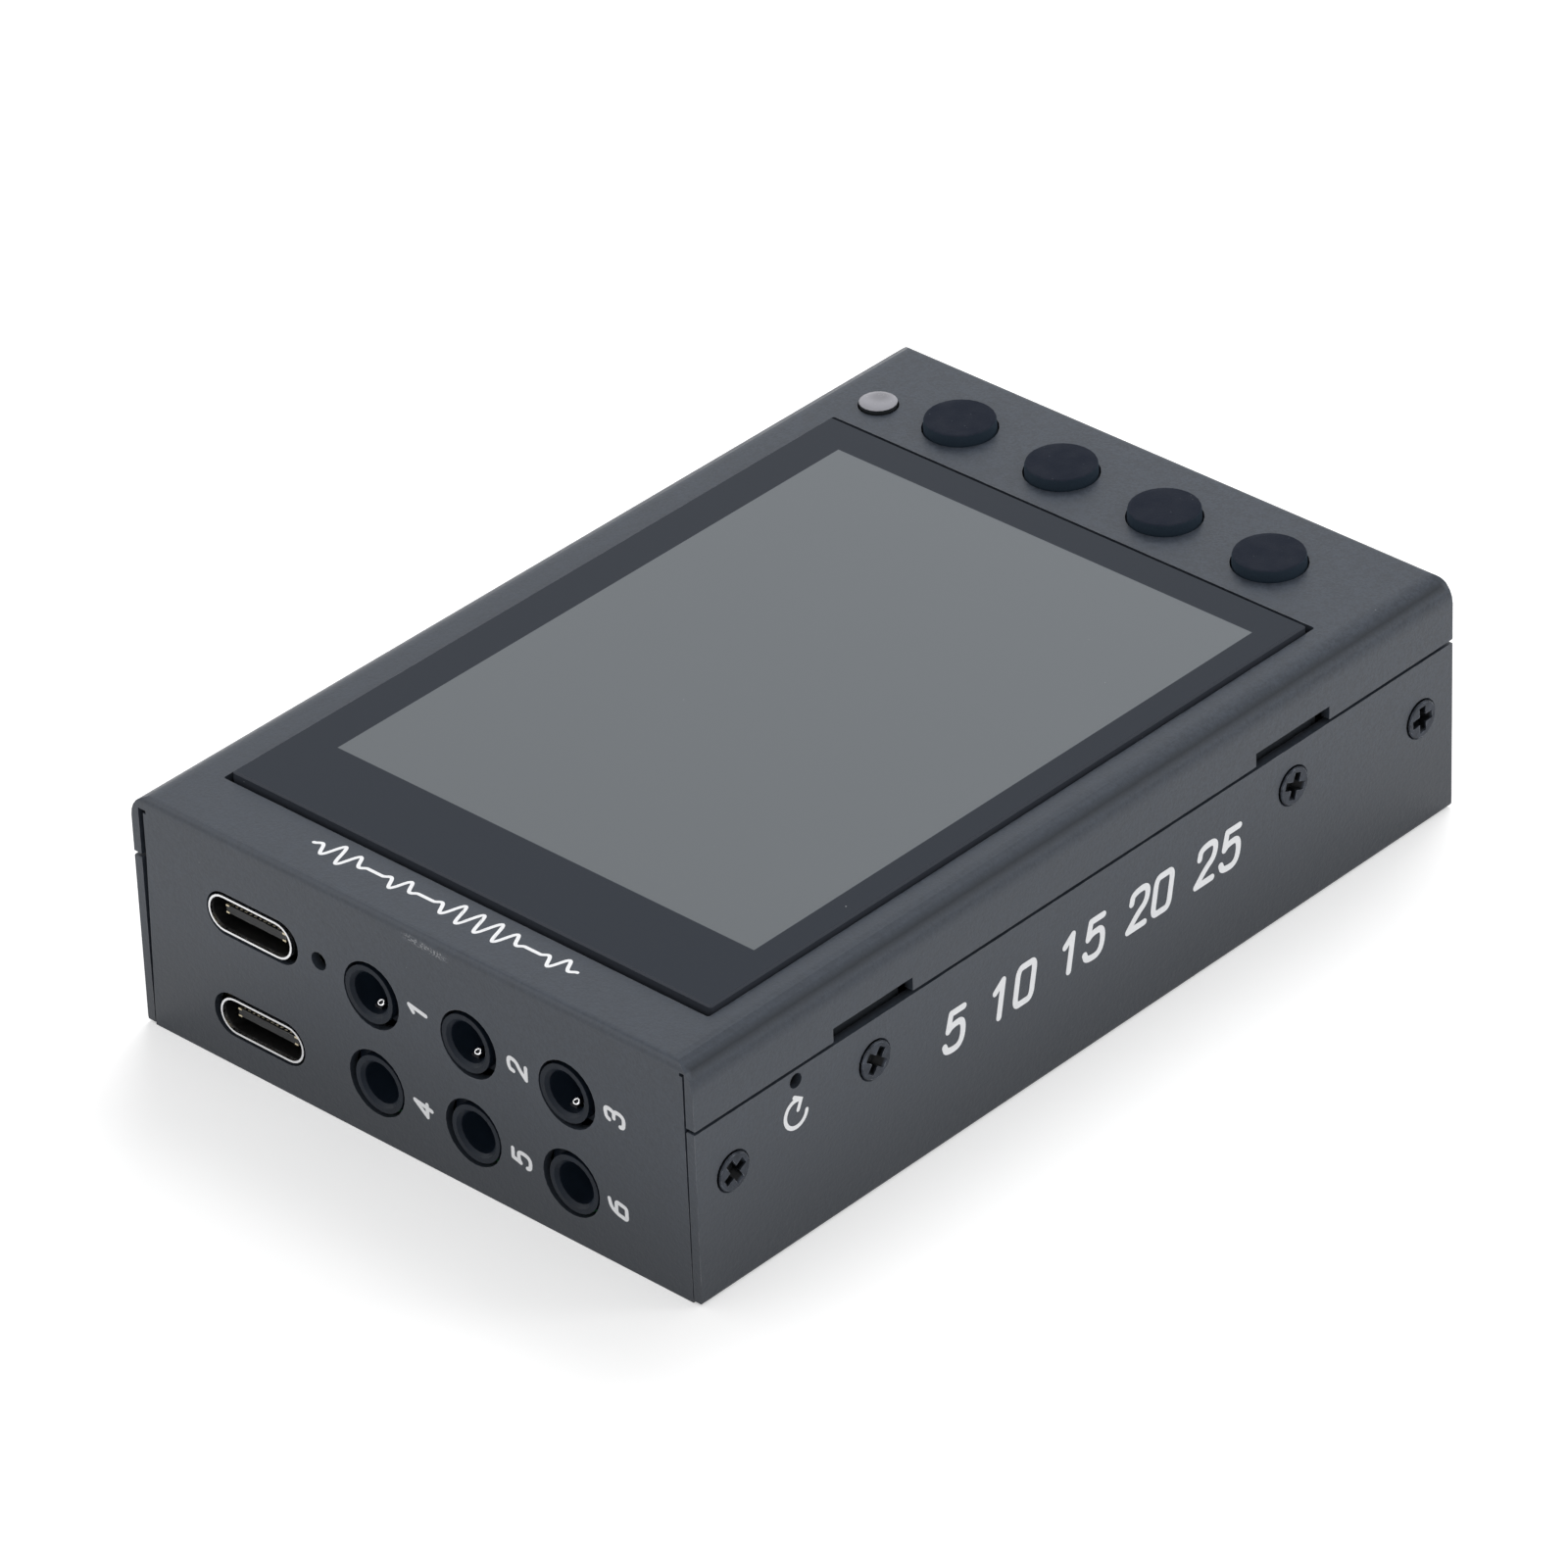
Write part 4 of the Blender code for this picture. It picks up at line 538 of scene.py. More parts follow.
def bend_scuff(wires, coat):
    """The speckled scuff under the bend above the jacks, as a mask."""
    place = wires.parts(object_place(wires))
    across = wires.maths("ABSOLUTE", wires.maths("SUBTRACT", place["X"], coat.scuff_place))
    mask = wires.ramp(across, 0.3 * coat.scuff_length, 0.5 * coat.scuff_length, 1.0, 0.0)
    outer = wires.ramp(place["Y"], END_FACE + 0.25 * MM, END_FACE + 0.75 * MM, 1.0, 0.0)
    mask = wires.times(mask, outer)
    slanted = wires.maths("MULTIPLY_ADD", place["X"], coat.scuff_slope, place["Z"])
    middle = TOP_FACE - coat.scuff_drop + coat.scuff_slope * coat.scuff_place
    off_line = wires.maths("ABSOLUTE", wires.maths("SUBTRACT", slanted, middle))
    mask = wires.times(mask, wires.ramp(off_line, 0.10 * MM, 0.40 * MM, 1.0, 0.0))
    speckle = wires.noise(scaled_place(wires, 0.00016), 2.0, 0.7)
    return wires.times(mask, wires.ramp(speckle, 0.49, 0.60, 0.0, 0.9), clamp=True)


def picture_mask(wires, display):
    """One inside the picture area of the display's top face and nought outside it."""
    place = wires.parts(object_place(wires))
    blur = display.print_blur
    edges = (
        (place["X"], GLASS_LOW.x + display.left_border, 1),
        (place["X"], GLASS_HIGH.x - display.right_border, -1),
        (place["Y"], GLASS_LOW.y + display.near_border, 1),
        (place["Y"], GLASS_HIGH.y - display.far_border, -1),
    )
    mask = wires.ramp(place["Z"], GLASS_HIGH.z - 0.02 * MM, GLASS_HIGH.z - 0.01 * MM)
    for value, edge, side in edges:
        inside = wires.ramp(value, edge - side * blur / 2, edge + side * blur / 2)
        mask = wires.times(mask, inside)
    return mask, place


def glass_finish(display):
    """Cover glass with a print behind it, a picture area whose grey is a painted reflection, ground edges,
    dust and faint smears.
    """
    finish, wires, shader = new_finish("display_glass")
    mask, place = picture_mask(wires, display)
    smear = grained(wires, grain_size=0.0006, blotch_size=0.011)
    dust = dusted(wires, display.speck_cell, share_kept=0.32, speck_size=0.00007)
    lint = dusted(wires, cell_size=0.0011, share_kept=0.025, speck_size=0.00004)
    # Painted reflection: the picture area is painted lighter towards the button end.
    sheen_fade = wires.ramp(place["Y"], GLASS_LOW.y, GLASS_HIGH.y)
    picture = wires.blend(sheen_fade, shade(display.picture, 0.96), shade(display.picture, 1.06))
    colour = wires.blend(mask, display.border, picture)
    ground = wires.ramp(facing_up(wires, "True Normal"), 0.86, 0.985, 1.0, 0.0)
    colour = wires.blend(ground, colour, display.edge)
    specks = wires.times(wires.maths("MAXIMUM", dust, lint), 0.55)
    colour = wires.blend(specks, colour, (0.42, 0.43, 0.45))
    wires.put(shader, "Base Color", colour)
    gloss = wires.span(smear["Blotch"], display.roughness, display.roughness + 0.05)
    gloss = wires.maths("MULTIPLY_ADD", specks, 0.6, gloss)
    wires.put(shader, "Roughness", wires.maths("MAXIMUM", gloss, wires.times(ground, 0.55)))
    wires.put(shader, "IOR", 1.33)
    set_bump(wires, shader, wires.maths("MAXIMUM", dust, lint), depth=0.00001, strength=0.5)
    return finish


def shaded_inward(wires, start, full):
    """A mask that grows from the jack end's outer face into the sockets, where little light gets."""
    place = wires.parts(object_place(wires))
    return wires.ramp(place["Y"], END_FACE + start, END_FACE + full, smooth=True)


def moulded_finish(name, colour, roughness, grain_size, worn, wear=0.4, gloss=0.5, deep=1.0):
    """Moulded plastic: a fine grain, softly worn edges, an uneven sheen, and painted light that makes it
    paler deep in a socket.
    """
    finish, wires, shader = new_finish(name)
    grain = grained(wires, grain_size, blotch_size=0.0022)
    rub = rubbed(wires, width=0.00008, patch_size=0.0009, amount=wear)
    base = wires.blend(grain["Blotch"], shade(colour, 0.85), shade(colour, 1.2))
    base = wires.blend(rub, base, worn)
    # Painted light: deep in a socket the plastic is painted paler, standing for light in the bore.
    if deep != 1.0:
        inward = shaded_inward(wires, 0.4 * MM, 2.4 * MM)
        base = wires.blend(inward, base, shade(colour, deep))
    wires.put(shader, "Base Color", base)
    wires.put(shader, "Roughness", wires.span(grain["Tone"], roughness - 0.06, roughness + 0.08))
    wires.put(shader, "Specular IOR Level", gloss)
    set_bump(wires, shader, grain["Height"], depth=0.00001, strength=0.6)
    return finish


def rubber_finish(button):
    """Matt rubber: a dense grain that holds dust, and a painted lighter tone down the side of the cap for
    the light that falls there.
    """
    finish, wires, shader = new_finish("button_rubber")
    grain = grained(wires, button.grain_size, blotch_size=0.0018)
    dust = dusted(wires, cell_size=0.00042, share_kept=0.30, speck_size=0.00005)
    rub = rubbed(wires, width=0.00018, patch_size=0.0007, amount=0.25)
    upward = wires.ramp(facing_up(wires), 0.2, 0.95)
    # Painted light: the cap gets the lighter flank colour where it faces sideways.
    base = wires.blend(upward, button.flank, button.rubber)
    base = wires.blend(wires.span(grain["Tone"], 0.0, 0.35), base, shade(button.rubber, 1.9))
    base = wires.blend(wires.times(dust, wires.span(upward, 0.1, 0.55)), base, button.dust)
    wires.put(shader, "Base Color", wires.blend(rub, base, button.dust))
    wires.put(shader, "Roughness", wires.span(grain["Blotch"], button.roughness, button.roughness + 0.14))
    wires.put(shader, "Specular IOR Level", 0.15)
    set_bump(wires, shader, grain["Height"], depth=0.000016, strength=0.7)
    return finish


def lens_finish(light):
    """Frosted lens: milky, greyer over the chip inside it, and painted dark as shade where it faces
    sideways.
    """
    finish, wires, shader = new_finish("milky_lens")
    grain = grained(wires, grain_size=0.0003, blotch_size=0.0016)
    upward = wires.ramp(facing_up(wires), 0.05, 0.9, smooth=True)
    off_chip = wires.vector("SUBTRACT", object_place(wires), (*light.chip_place, 0.0))
    flat = wires.vector("MULTIPLY", off_chip, (1.0, 1.0, 0.0))
    away = wires.maths("SQRT", wires.vector("DOT_PRODUCT", flat, flat))
    chip = wires.ramp(away, 0.2 * light.chip_radius, light.chip_radius, 1.0, 0.0, smooth=True)
    milk = wires.blend(grain["Blotch"], light.milk, shade(light.milk, 0.92))
    # Painted shade: the sides of the lens take the dark colour.
    base = wires.blend(upward, light.skirt, wires.blend(chip, milk, light.core))
    wires.put(shader, "Base Color", base)
    wires.put(shader, "Roughness", wires.span(grain["Tone"], 0.16, 0.28))
    wires.put(shader, "Subsurface Weight", 0.08)
    wires.put(shader, "Subsurface Radius", (0.6, 0.6, 0.7))
    wires.put(shader, "Subsurface Scale", 0.0003)
    set_bump(wires, shader, grain["Blotch"], depth=0.00002, strength=0.4)
    return finish


def metal_finish(name, colour, roughness, direction, tarnish, spots=0.25):
    """Drawn or plated metal: fine lines along the piece, dull patches and bright worn edges."""
    finish, wires, shader = new_finish(name)
    lines = grow(wires, drawn_lines(), 0.00007, direction)
    grain = grained(wires, grain_size=0.0003, blotch_size=0.0014)
    rub = rubbed(wires, width=0.00006, patch_size=0.0006, amount=0.5)
    patch = wires.times(grain["Blotch"], spots)
    base = wires.blend(patch, colour, tarnish)
    base = wires.blend(wires.times(lines["Tone"], 0.18), base, shade(colour, 0.7))
    base = wires.blend(rub, base, shade(colour, 1.25))
    wires.put(shader, "Base Color", base)
    wires.put(shader, "Metallic", 1.0)
    matt = wires.span(lines["Tone"], roughness - 0.05, roughness + 0.07)
    wires.put(shader, "Roughness", wires.maths("MULTIPLY_ADD", patch, 0.35, matt))
    set_bump(wires, shader, lines["Height"], depth=0.000008, strength=0.35)
    return finish


def socket_finish(metal):
    """Plated shell of a charging socket: bright at its rim, dull and shaded further in."""
    finish, wires, shader = new_finish("socket_shell")
    grain = grained(wires, grain_size=0.0003, blotch_size=0.0014)
    inward = shaded_inward(wires, 0.05 * MM, 0.45 * MM)
    bright = wires.blend(wires.times(grain["Blotch"], 0.2), metal.steel, shade(metal.steel, 0.6))
    wires.put(shader, "Base Color", wires.blend(inward, bright, shade(metal.steel, 0.06)))
    wires.put(shader, "Metallic", 1.0)
    matt = wires.span(grain["Tone"], 0.18, 0.3)
    wires.put(shader, "Roughness", wires.maths("MULTIPLY_ADD", inward, 0.25, matt))
    set_bump(wires, shader, grain["Height"], depth=0.000004, strength=0.4)
    return finish


def oxide_finish(metal):
    """Black oxide on the screw heads: a thin uneven skin, pale edges that are partly wear from a driver and
    partly painted glints, and painted shade deep in the cross recess.
    """
    finish, wires, shader = new_finish("black_oxide_steel")
    grain = grained(wires, grain_size=0.00014, blotch_size=0.0007)
    rub = rubbed(wires, width=0.00010, patch_size=0.0005, amount=0.9)
    # Painted shade: below the head's face, in the cross recess, the colour is painted nearly black.
    place = wires.parts(object_place(wires))
    head_face = CAD_BOX[1][0]
    shallow = wires.ramp(wires.maths("ABSOLUTE", place["X"]), head_face - 0.22 * MM, head_face - 0.06 * MM)
    base = wires.blend(grain["Blotch"], shade(metal.oxide, 0.75), shade(metal.oxide, 1.3))
    # Partly wear and partly painted glints: the head's edges are rubbed pale.
    base = wires.blend(rub, base, (0.34, 0.36, 0.41))
    wires.put(shader, "Base Color", wires.blend(shallow, (0.006, 0.007, 0.008), base))
    wires.put(shader, "Metallic", wires.times(shallow, wires.span(grain["Blotch"], 0.15, 0.6)))
    wires.put(shader, "Roughness", wires.span(grain["Tone"], 0.26, 0.44))
    wires.put(shader, "Specular IOR Level", 0.12)
    set_bump(wires, shader, grain["Height"], depth=0.00002, strength=0.6)
    return finish


def board_finish(inside):
    """Solder resist over copper tracks."""
    finish, wires, shader = new_finish("board_green")
    grain = grained(wires, grain_size=0.0002, blotch_size=0.006)
    place = scaled_place(wires, inside.track_size)
    given = {"Vector": place, "Scale": 1.0, "Mortar Size": 0.12, "Mortar Smooth": 0.1}
    tracks = wires.add("ShaderNodeTexBrick", given, offset=0.37, squash=1.3)
    base = wires.blend(tracks.outputs["Fac"], inside.board, inside.track)
    cloud = wires.times(grain["Blotch"], 0.2)
    wires.put(shader, "Base Color", wires.blend(cloud, base, (0.01, 0.04, 0.02)))
    wires.put(shader, "Roughness", wires.span(grain["Tone"], 0.25, 0.38))
    height = wires.maths("MULTIPLY_ADD", grain["Height"], 0.1, tracks.outputs["Fac"])
    set_bump(wires, shader, height, depth=0.00003, strength=0.5)
    return finish


def foil_finish(inside):
    """Creased laminated foil round the battery."""
    finish, wires, shader = new_finish("battery_foil")
    given = {"Vector": scaled_place(wires, 0.0035), "Scale": 1.0}
    crease = wires.add("ShaderNodeTexVoronoi", given, feature="SMOOTH_F1")
    grain = grained(wires, grain_size=0.0005, blotch_size=0.005)
    wires.put(shader, "Base Color", wires.blend(grain["Blotch"], inside.foil, shade(inside.foil, 0.75)))
    wires.put(shader, "Metallic", 0.9)
    wires.put(shader, "Roughness", wires.span(grain["Tone"], 0.26, 0.44))
    set_bump(wires, shader, crease.outputs["Distance"], depth=0.00015, strength=0.6)
    return finish


def ink_finish(mark):
    """Screen-printed ink: nearly flat white with a fine tooth and thin places."""
    finish, wires, shader = new_finish("white_ink")
    grain = grained(wires, grain_size=0.00016, blotch_size=0.0012)
    thin = wires.span(grain["Tone"], 0.0, 0.12)
    wires.put(shader, "Base Color", wires.blend(thin, mark.ink, shade(mark.ink, 0.66)))
    wires.put(shader, "Roughness", wires.span(grain["Blotch"], 0.48, 0.62))
    set_bump(wires, shader, grain["Height"], depth=0.00001, strength=0.5)
    return finish


def dress(finish, slot, start=""):
    """Gives a finish to every CAD node that has the slot and whose name begins with a start."""
    dressed = [name for name in NODES if SLOTS[name] == slot and name.startswith(start)]
    if not dressed:
        raise RuntimeError("no node of the frame has the slot %s" % slot)
    for name in dressed:
        mesh = NODES[name].data
        if not mesh.materials:
            mesh.materials.append(finish)
        for place in range(len(mesh.materials)):
            mesh.materials[place] = finish
        round_shading(NODES[name])


@built_once
def facet_shading(name):
    """Geometry nodes that shade shallow facets as one round surface and keep steeper edges sharp."""
    tree = bpy.data.node_groups.new(name, "GeometryNodeTree")
    tree.is_modifier = True
    for way in ("INPUT", "OUTPUT"):
        tree.interface.new_socket(name="Geometry", in_out=way, socket_type="NodeSocketGeometry")
    wires = Wiring(tree)
    given = wires.add("NodeGroupInput").outputs["Geometry"]
    welded = wires.add("GeometryNodeMergeByDistance", {"Geometry": given, "Distance": WELD_GAP})
    inputs = {"Geometry": welded.outputs["Geometry"], "Shade Smooth": True}
    smooth = wires.add("GeometryNodeSetShadeSmooth", inputs, domain="FACE")
    angle = wires.add("GeometryNodeInputMeshEdgeAngle").outputs["Unsigned Angle"]
    steep = wires.maths("GREATER_THAN", angle, SHARP_ANGLE)
    inputs = {"Geometry": smooth.outputs["Geometry"], "Selection": steep, "Shade Smooth": False}
    sharp = wires.add("GeometryNodeSetShadeSmooth", inputs, domain="EDGE")
    wires.add("NodeGroupOutput", {"Geometry": sharp.outputs["Geometry"]})
    return tree


def round_shading(shown):
    """Adds the shading modifiers to an object once. They change how it is shaded and not its shape."""
    if "facet_shading" in shown.modifiers:
        return
    shown.modifiers.new("facet_shading", "NODES").node_group = facet_shading()
    even = shown.modifiers.new("even_normals", "WEIGHTED_NORMAL")
    even.mode = "FACE_AREA"
    even.weight = 100
    even.keep_sharp = True


def rounded_path(points, closed=False, passes=3):
    """A path with its corners cut round."""
    path = [Vector(point) for point in points]
    for _ in range(passes):
        cut = [] if closed else [path[0]]
        pairs = list(zip(path, path[1:] + path[:1])) if closed else list(zip(path, path[1:]))
        for here, there in pairs:
            cut += [here.lerp(there, 0.25), here.lerp(there, 0.75)]
        path = cut if closed else cut + [path[-1]]
    kept = [path[0]]
    for point in path[1:]:
        if (point - kept[-1]).length > 1e-4:
            kept.append(point)
    return kept


def stroke_outline(path, width, closed):
    """The rings round a stroke of even width: two for a closed one, one with round ends for an open one."""
    count = len(path)
    left, right = [], []
    for place, point in enumerate(path):
        before = path[place - 1] if closed or place else point
        after = path[(place + 1) % count] if closed or place + 1 < count else point
        along = (after - before).normalized()
        across = Vector((-along.y, along.x)) * width / 2
        if before != point and after != point:
            lean = max(0.5, (point - before).normalized().dot(along))
            across /= lean
        left.append(point + across)
        right.append(point - across)
    if closed:
        return left, right
    far_end, near_end = round_end(path[-1], path[-2], width), round_end(path[0], path[1], width)
    return (left + far_end + right[::-1] + near_end,)


def round_end(tip, inner, width, steps=6):
    """Points round the end of a stroke, from its left side to its right as seen going outward."""
    along = (tip - inner).normalized()
    across = Vector((-along.y, along.x))
    turns = [math.pi * step / steps for step in range(1, steps)]
    return [tip + width / 2 * (across * math.cos(turn) + along * math.sin(turn)) for turn in turns]


def join_rings(mesh, first, second):
    """Adds the faces between two closed rings of as many vertices."""
    for here in range(len(first)):
        there = (here + 1) % len(first)
        mesh.faces.new((first[here], first[there], second[there], second[here]))


def join_round(mesh, rings):
    """Joins each ring to the next and the last to the first."""
    for first, second in zip(rings, rings[1:] + rings[:1]):
        join_rings(mesh, first, second)


def add_prism(mesh, bottom, top):
    """Adds the faces of a closed block between two rings of vertices."""
    mesh.faces.new(top)
    mesh.faces.new(bottom[::-1])
    join_rings(mesh, bottom, top)


def add_stroke(mesh, path, width, place, high, closed=False):
    """Adds one stroke of print. It is let a little into the coat and stands up to a height above it."""
    outlines = stroke_outline(path, width, closed)
    lows, highs = (
        [[mesh.verts.new(place(point, height)) for point in outline] for outline in outlines]
        for height in (-PRINT_SINK, high)
    )
    if closed:
        join_round(mesh, [lows[0], highs[0], highs[1], lows[1]])
    else:
        add_prism(mesh, lows[0], highs[0])


# Strokes of the plain figures, in parts of the height between the middles of the outer lines
FIGURES = {
    "0": [("closed", (0.30, 1.0), (0.60, 1.0), (0.60, 0.5), (0.60, 0.0),
           (0.30, 0.0), (0.0, 0.0), (0.0, 0.5), (0.0, 1.0))],
    "1": [("open", (0.10, 0.76), (0.36, 1.0)), ("open", (0.36, 1.0), (0.36, 0.0))],
    "2": [("open", (0.02, 0.74), (0.04, 1.0), (0.60, 1.04), (0.62, 0.58), (0.30, 0.36), (0.0, 0.0)),
          ("open", (0.0, 0.0), (0.62, 0.0))],
    "3": [("open", (0.02, 0.82), (0.08, 1.0), (0.56, 1.06), (0.58, 0.54), (0.24, 0.54)),
          ("open", (0.24, 0.54), (0.62, 0.54), (0.64, -0.04), (0.08, -0.02), (0.0, 0.18))],
    "4": [("open", (0.46, 0.0), (0.46, 1.0)), ("open", (0.46, 1.0), (0.0, 0.27)),
          ("open", (0.0, 0.27), (0.64, 0.27))],
    "5": [("open", (0.56, 1.0), (0.10, 1.0)), ("open", (0.10, 1.0), (0.06, 0.55)),
          ("open", (0.06, 0.55), (0.20, 0.66), (0.62, 0.66), (0.64, -0.03), (0.10, -0.03), (0.0, 0.16))],
    "6": [("open", (0.52, 1.0), (0.14, 0.90), (0.0, 0.55), (0.0, 0.30)),
          ("closed", (0.30, 0.60), (0.60, 0.60), (0.60, 0.30), (0.60, 0.0),
           (0.30, 0.0), (0.0, 0.0), (0.0, 0.30), (0.0, 0.60))],
}


def face_place(origin, along, up):
    """A function that puts a flat point and a height above the face into space."""
    along, up = Vector(along), Vector(up)
    outward = along.cross(up)

    def place(point, height):
        return Vector(origin) + along * point[0] + up * point[1] + outward * height

    return place


def add_figure(mesh, figure, corner, height, line, mark, place):
    """Adds one plain figure with the print's lean. Each stroke stands a trace higher than the last."""
    tall = height - line
    left, low = corner[0] + line / 2, corner[1] + line / 2
    for count, (kind, *points) in enumerate(FIGURES[figure]):
        closed = kind == "closed"
        path = [Vector((left + tall * (point.x + mark.slant * point.y), low + tall * point.y))
                for point in rounded_path(points, closed)]
        add_stroke(mesh, path, line, place, mark.ink_height + count * PRINT_SINK / 4, closed)


def add_object(name, data):
    """Puts an object with its data into the scene."""
    made = bpy.data.objects.new(name, data)
    bpy.context.scene.collection.objects.link(made)
    return made


def add_mesh(name, mesh, finish):
    """Puts a mesh with one finish into the scene."""
    data = bpy.data.meshes.new(name)
    mesh.to_mesh(data)
    mesh.free()
    data.materials.append(finish)
    return add_object(name, data)


def keep_piece(name, mesh, finish, body="case"):
    """Turns a mesh into a piece of the object that rides on a body."""
    bmesh.ops.recalc_face_normals(mesh, faces=mesh.faces)
    piece = add_mesh(name, mesh, finish)
    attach(piece, body)
    return piece


def ink(mark):
    """The ink of the print, made once."""
    return bpy.data.materials.get("white_ink") or ink_finish(mark)


class TRAINER_OT_case(bpy.types.Operator):
    """Give the two folded shells their powder coat"""

    bl_idname = "trainer.case"
    bl_label = "Coat the Case"

    def execute(self, context):
        dress(coat_finish(context.scene.trainer_coat), "powder_coat")
        return {"FINISHED"}


class TRAINER_OT_display(bpy.types.Operator):
    """Give the display its cover glass, border print and pressed frame"""

    bl_idname = "trainer.display"
    bl_label = "Finish the Display"

    def execute(self, context):
        dress(glass_finish(context.scene.trainer_display), "display_glass")
        bezel = context.scene.trainer_inside.bezel
        frame_finish = metal_finish(
            "display_frame", bezel, roughness=0.32, direction=(0.06, 1.0, 1.0), tarnish=(0.3, 0.3, 0.31)
        )
        dress(frame_finish, "display_frame")
        return {"FINISHED"}


class TRAINER_OT_buttons(bpy.types.Operator):
    """Give the button caps their rubber and the moulded parts their plastic"""

    bl_idname = "trainer.buttons"
    bl_label = "Finish Buttons and Plastic"

    def execute(self, context):
        button = context.scene.trainer_buttons
        dress(rubber_finish(button), "button_rubber")
        moulded = {"roughness": 0.40, "grain_size": 0.00018, "worn": (0.035, 0.040, 0.048), "wear": 0.5,
                   "gloss": 0.14}
        dress(moulded_finish("black_plastic", button.plastic, **moulded), "black_plastic")
        jack = moulded_finish("jack_plastic", button.plastic, deep=button.deep, **moulded)
        dress(jack, "black_plastic", "jack_")
        tongue = moulded_finish(
            "tongue_plastic", button.tongue, roughness=0.45, grain_size=0.00012,
            worn=(0.30, 0.30, 0.29), wear=1.0, gloss=0.3
        )
        dress(tongue, "black_plastic", "usb_")
        grey = moulded_finish(
            "grey_plastic", button.grey, roughness=0.5, grain_size=0.0002, worn=(0.2, 0.2, 0.21)
        )
        dress(grey, "grey_plastic")
        return {"FINISHED"}


class TRAINER_OT_lights(bpy.types.Operator):
    """Give the status light, the charge light and the reset plunger their milky plastic"""

    bl_idname = "trainer.lights"
    bl_label = "Finish the Lights"

    def execute(self, context):
        dress(lens_finish(context.scene.trainer_lights), "milky_lens")
        return {"FINISHED"}


class TRAINER_OT_metal(bpy.types.Operator):
    """Give screws, socket shells, springs and spacers their metals"""

    bl_idname = "trainer.metal"
    bl_label = "Finish the Metal Parts"

    def execute(self, context):
        metal = context.scene.trainer_metal
        dress(oxide_finish(metal), "black_oxide_steel")
        steel = metal_finish(
            "bright_steel", metal.steel, roughness=0.22, direction=(1.0, 0.06, 1.0),
            tarnish=(0.42, 0.42, 0.42)
        )
        dress(steel, "bright_steel")
        dress(socket_finish(metal), "bright_steel", "usb_")
        spring = metal_finish(
            "spring_steel", metal.spring, roughness=0.4, direction=(1.0, 0.05, 1.0),
            tarnish=(0.03, 0.03, 0.035), spots=0.4
        )
        dress(spring, "bright_steel", "jack_contact")
        brass = metal_finish(
            "brass", metal.brass, roughness=0.27, direction=(1.0, 1.0, 0.06), tarnish=(0.26, 0.18, 0.09)
        )
        dress(brass, "brass")
        return {"FINISHED"}


class TRAINER_OT_inside(bpy.types.Operator):
    """Give the boards, the battery and its leads their finishes"""

    bl_idname = "trainer.inside"
    bl_label = "Finish the Inside"

    def execute(self, context):
        inside = context.scene.trainer_inside
        dress(board_finish(inside), "board_green")
        dress(foil_finish(inside), "battery_foil")
        red = moulded_finish(
            "red_insulation", inside.red, roughness=0.42, grain_size=0.0003, worn=(0.6, 0.1, 0.1), wear=0.2
        )
        dress(red, "red_insulation")
        return {"FINISHED"}


class TRAINER_OT_contacts(bpy.types.Operator):
    """Lay the rows of flat contacts on the tongues of the two charging sockets"""

    bl_idname = "trainer.contacts"
    bl_label = "Add Socket Contacts"

    def execute(self, context):
        metal = context.scene.trainer_metal
        gold = metal_finish(
            "contact_metal", metal.gold, roughness=0.42, direction=(1.0, 0.06, 1.0),
            tarnish=(0.50, 0.46, 0.38), spots=0.5
        )
        for socket in ("usb_upper", "usb_lower"):
            low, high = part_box(socket + "_tongue")
            middle = (low + high) / 2
            mesh = bmesh.new()
            for face in (1, -1):
                z = middle.z + face * metal.tongue_thickness / 2
                for number in range(metal.contact_count):
                    x = middle.x + (number - (metal.contact_count - 1) / 2) * metal.contact_pitch
                    self.add_contact(mesh, x, low.y + metal.contact_inset, z, face, metal)
                for end in (1, -1):
                    x = middle.x + end * (metal.tongue_width - metal.latch_width) / 2
                    self.add_latch(mesh, x, low.y, z, face, metal)
            keep_piece(socket + "_contacts", mesh, gold)
        return {"FINISHED"}

    @staticmethod
    def add_latch(mesh, x, front, z, face, metal):
        """Adds the small folded lug that wraps the front corner of a tongue."""
        half, reach, rise = metal.latch_width / 2, metal.latch_width, 1.5 * metal.contact_height
        profile = ((-rise, -2.5), (-rise, 0.5), (0.0, 1.0), (reach / 2, 1.0), (reach, 0.0), (reach, -0.5),
                   (rise, -2.5))
        left, right = (
            [mesh.verts.new((x + side, front + y, z + face * rise * height)) for y, height in profile]
            for side in (-half, half)
        )
        add_prism(mesh, left, right)

    @staticmethod
    def add_contact(mesh, x, front, z, face, metal):
        """Adds one flat contact with a sloped front and chamfered edges."""
        half, back, rise = metal.contact_width / 2, front + metal.contact_length, metal.contact_height
        top, start = half - rise / 2, front + 4 * rise
        foot = ((x - half, front), (x + half, front), (x + half, back), (x - half, back))
        crown = ((x - top, start), (x + top, start), (x + top, back), (x - top, back))
        lower = [mesh.verts.new((px, py, z - face * rise / 2)) for px, py in foot]
        upper = [mesh.verts.new((px, py, z + face * rise)) for px, py in crown]
        add_prism(mesh, lower, upper)


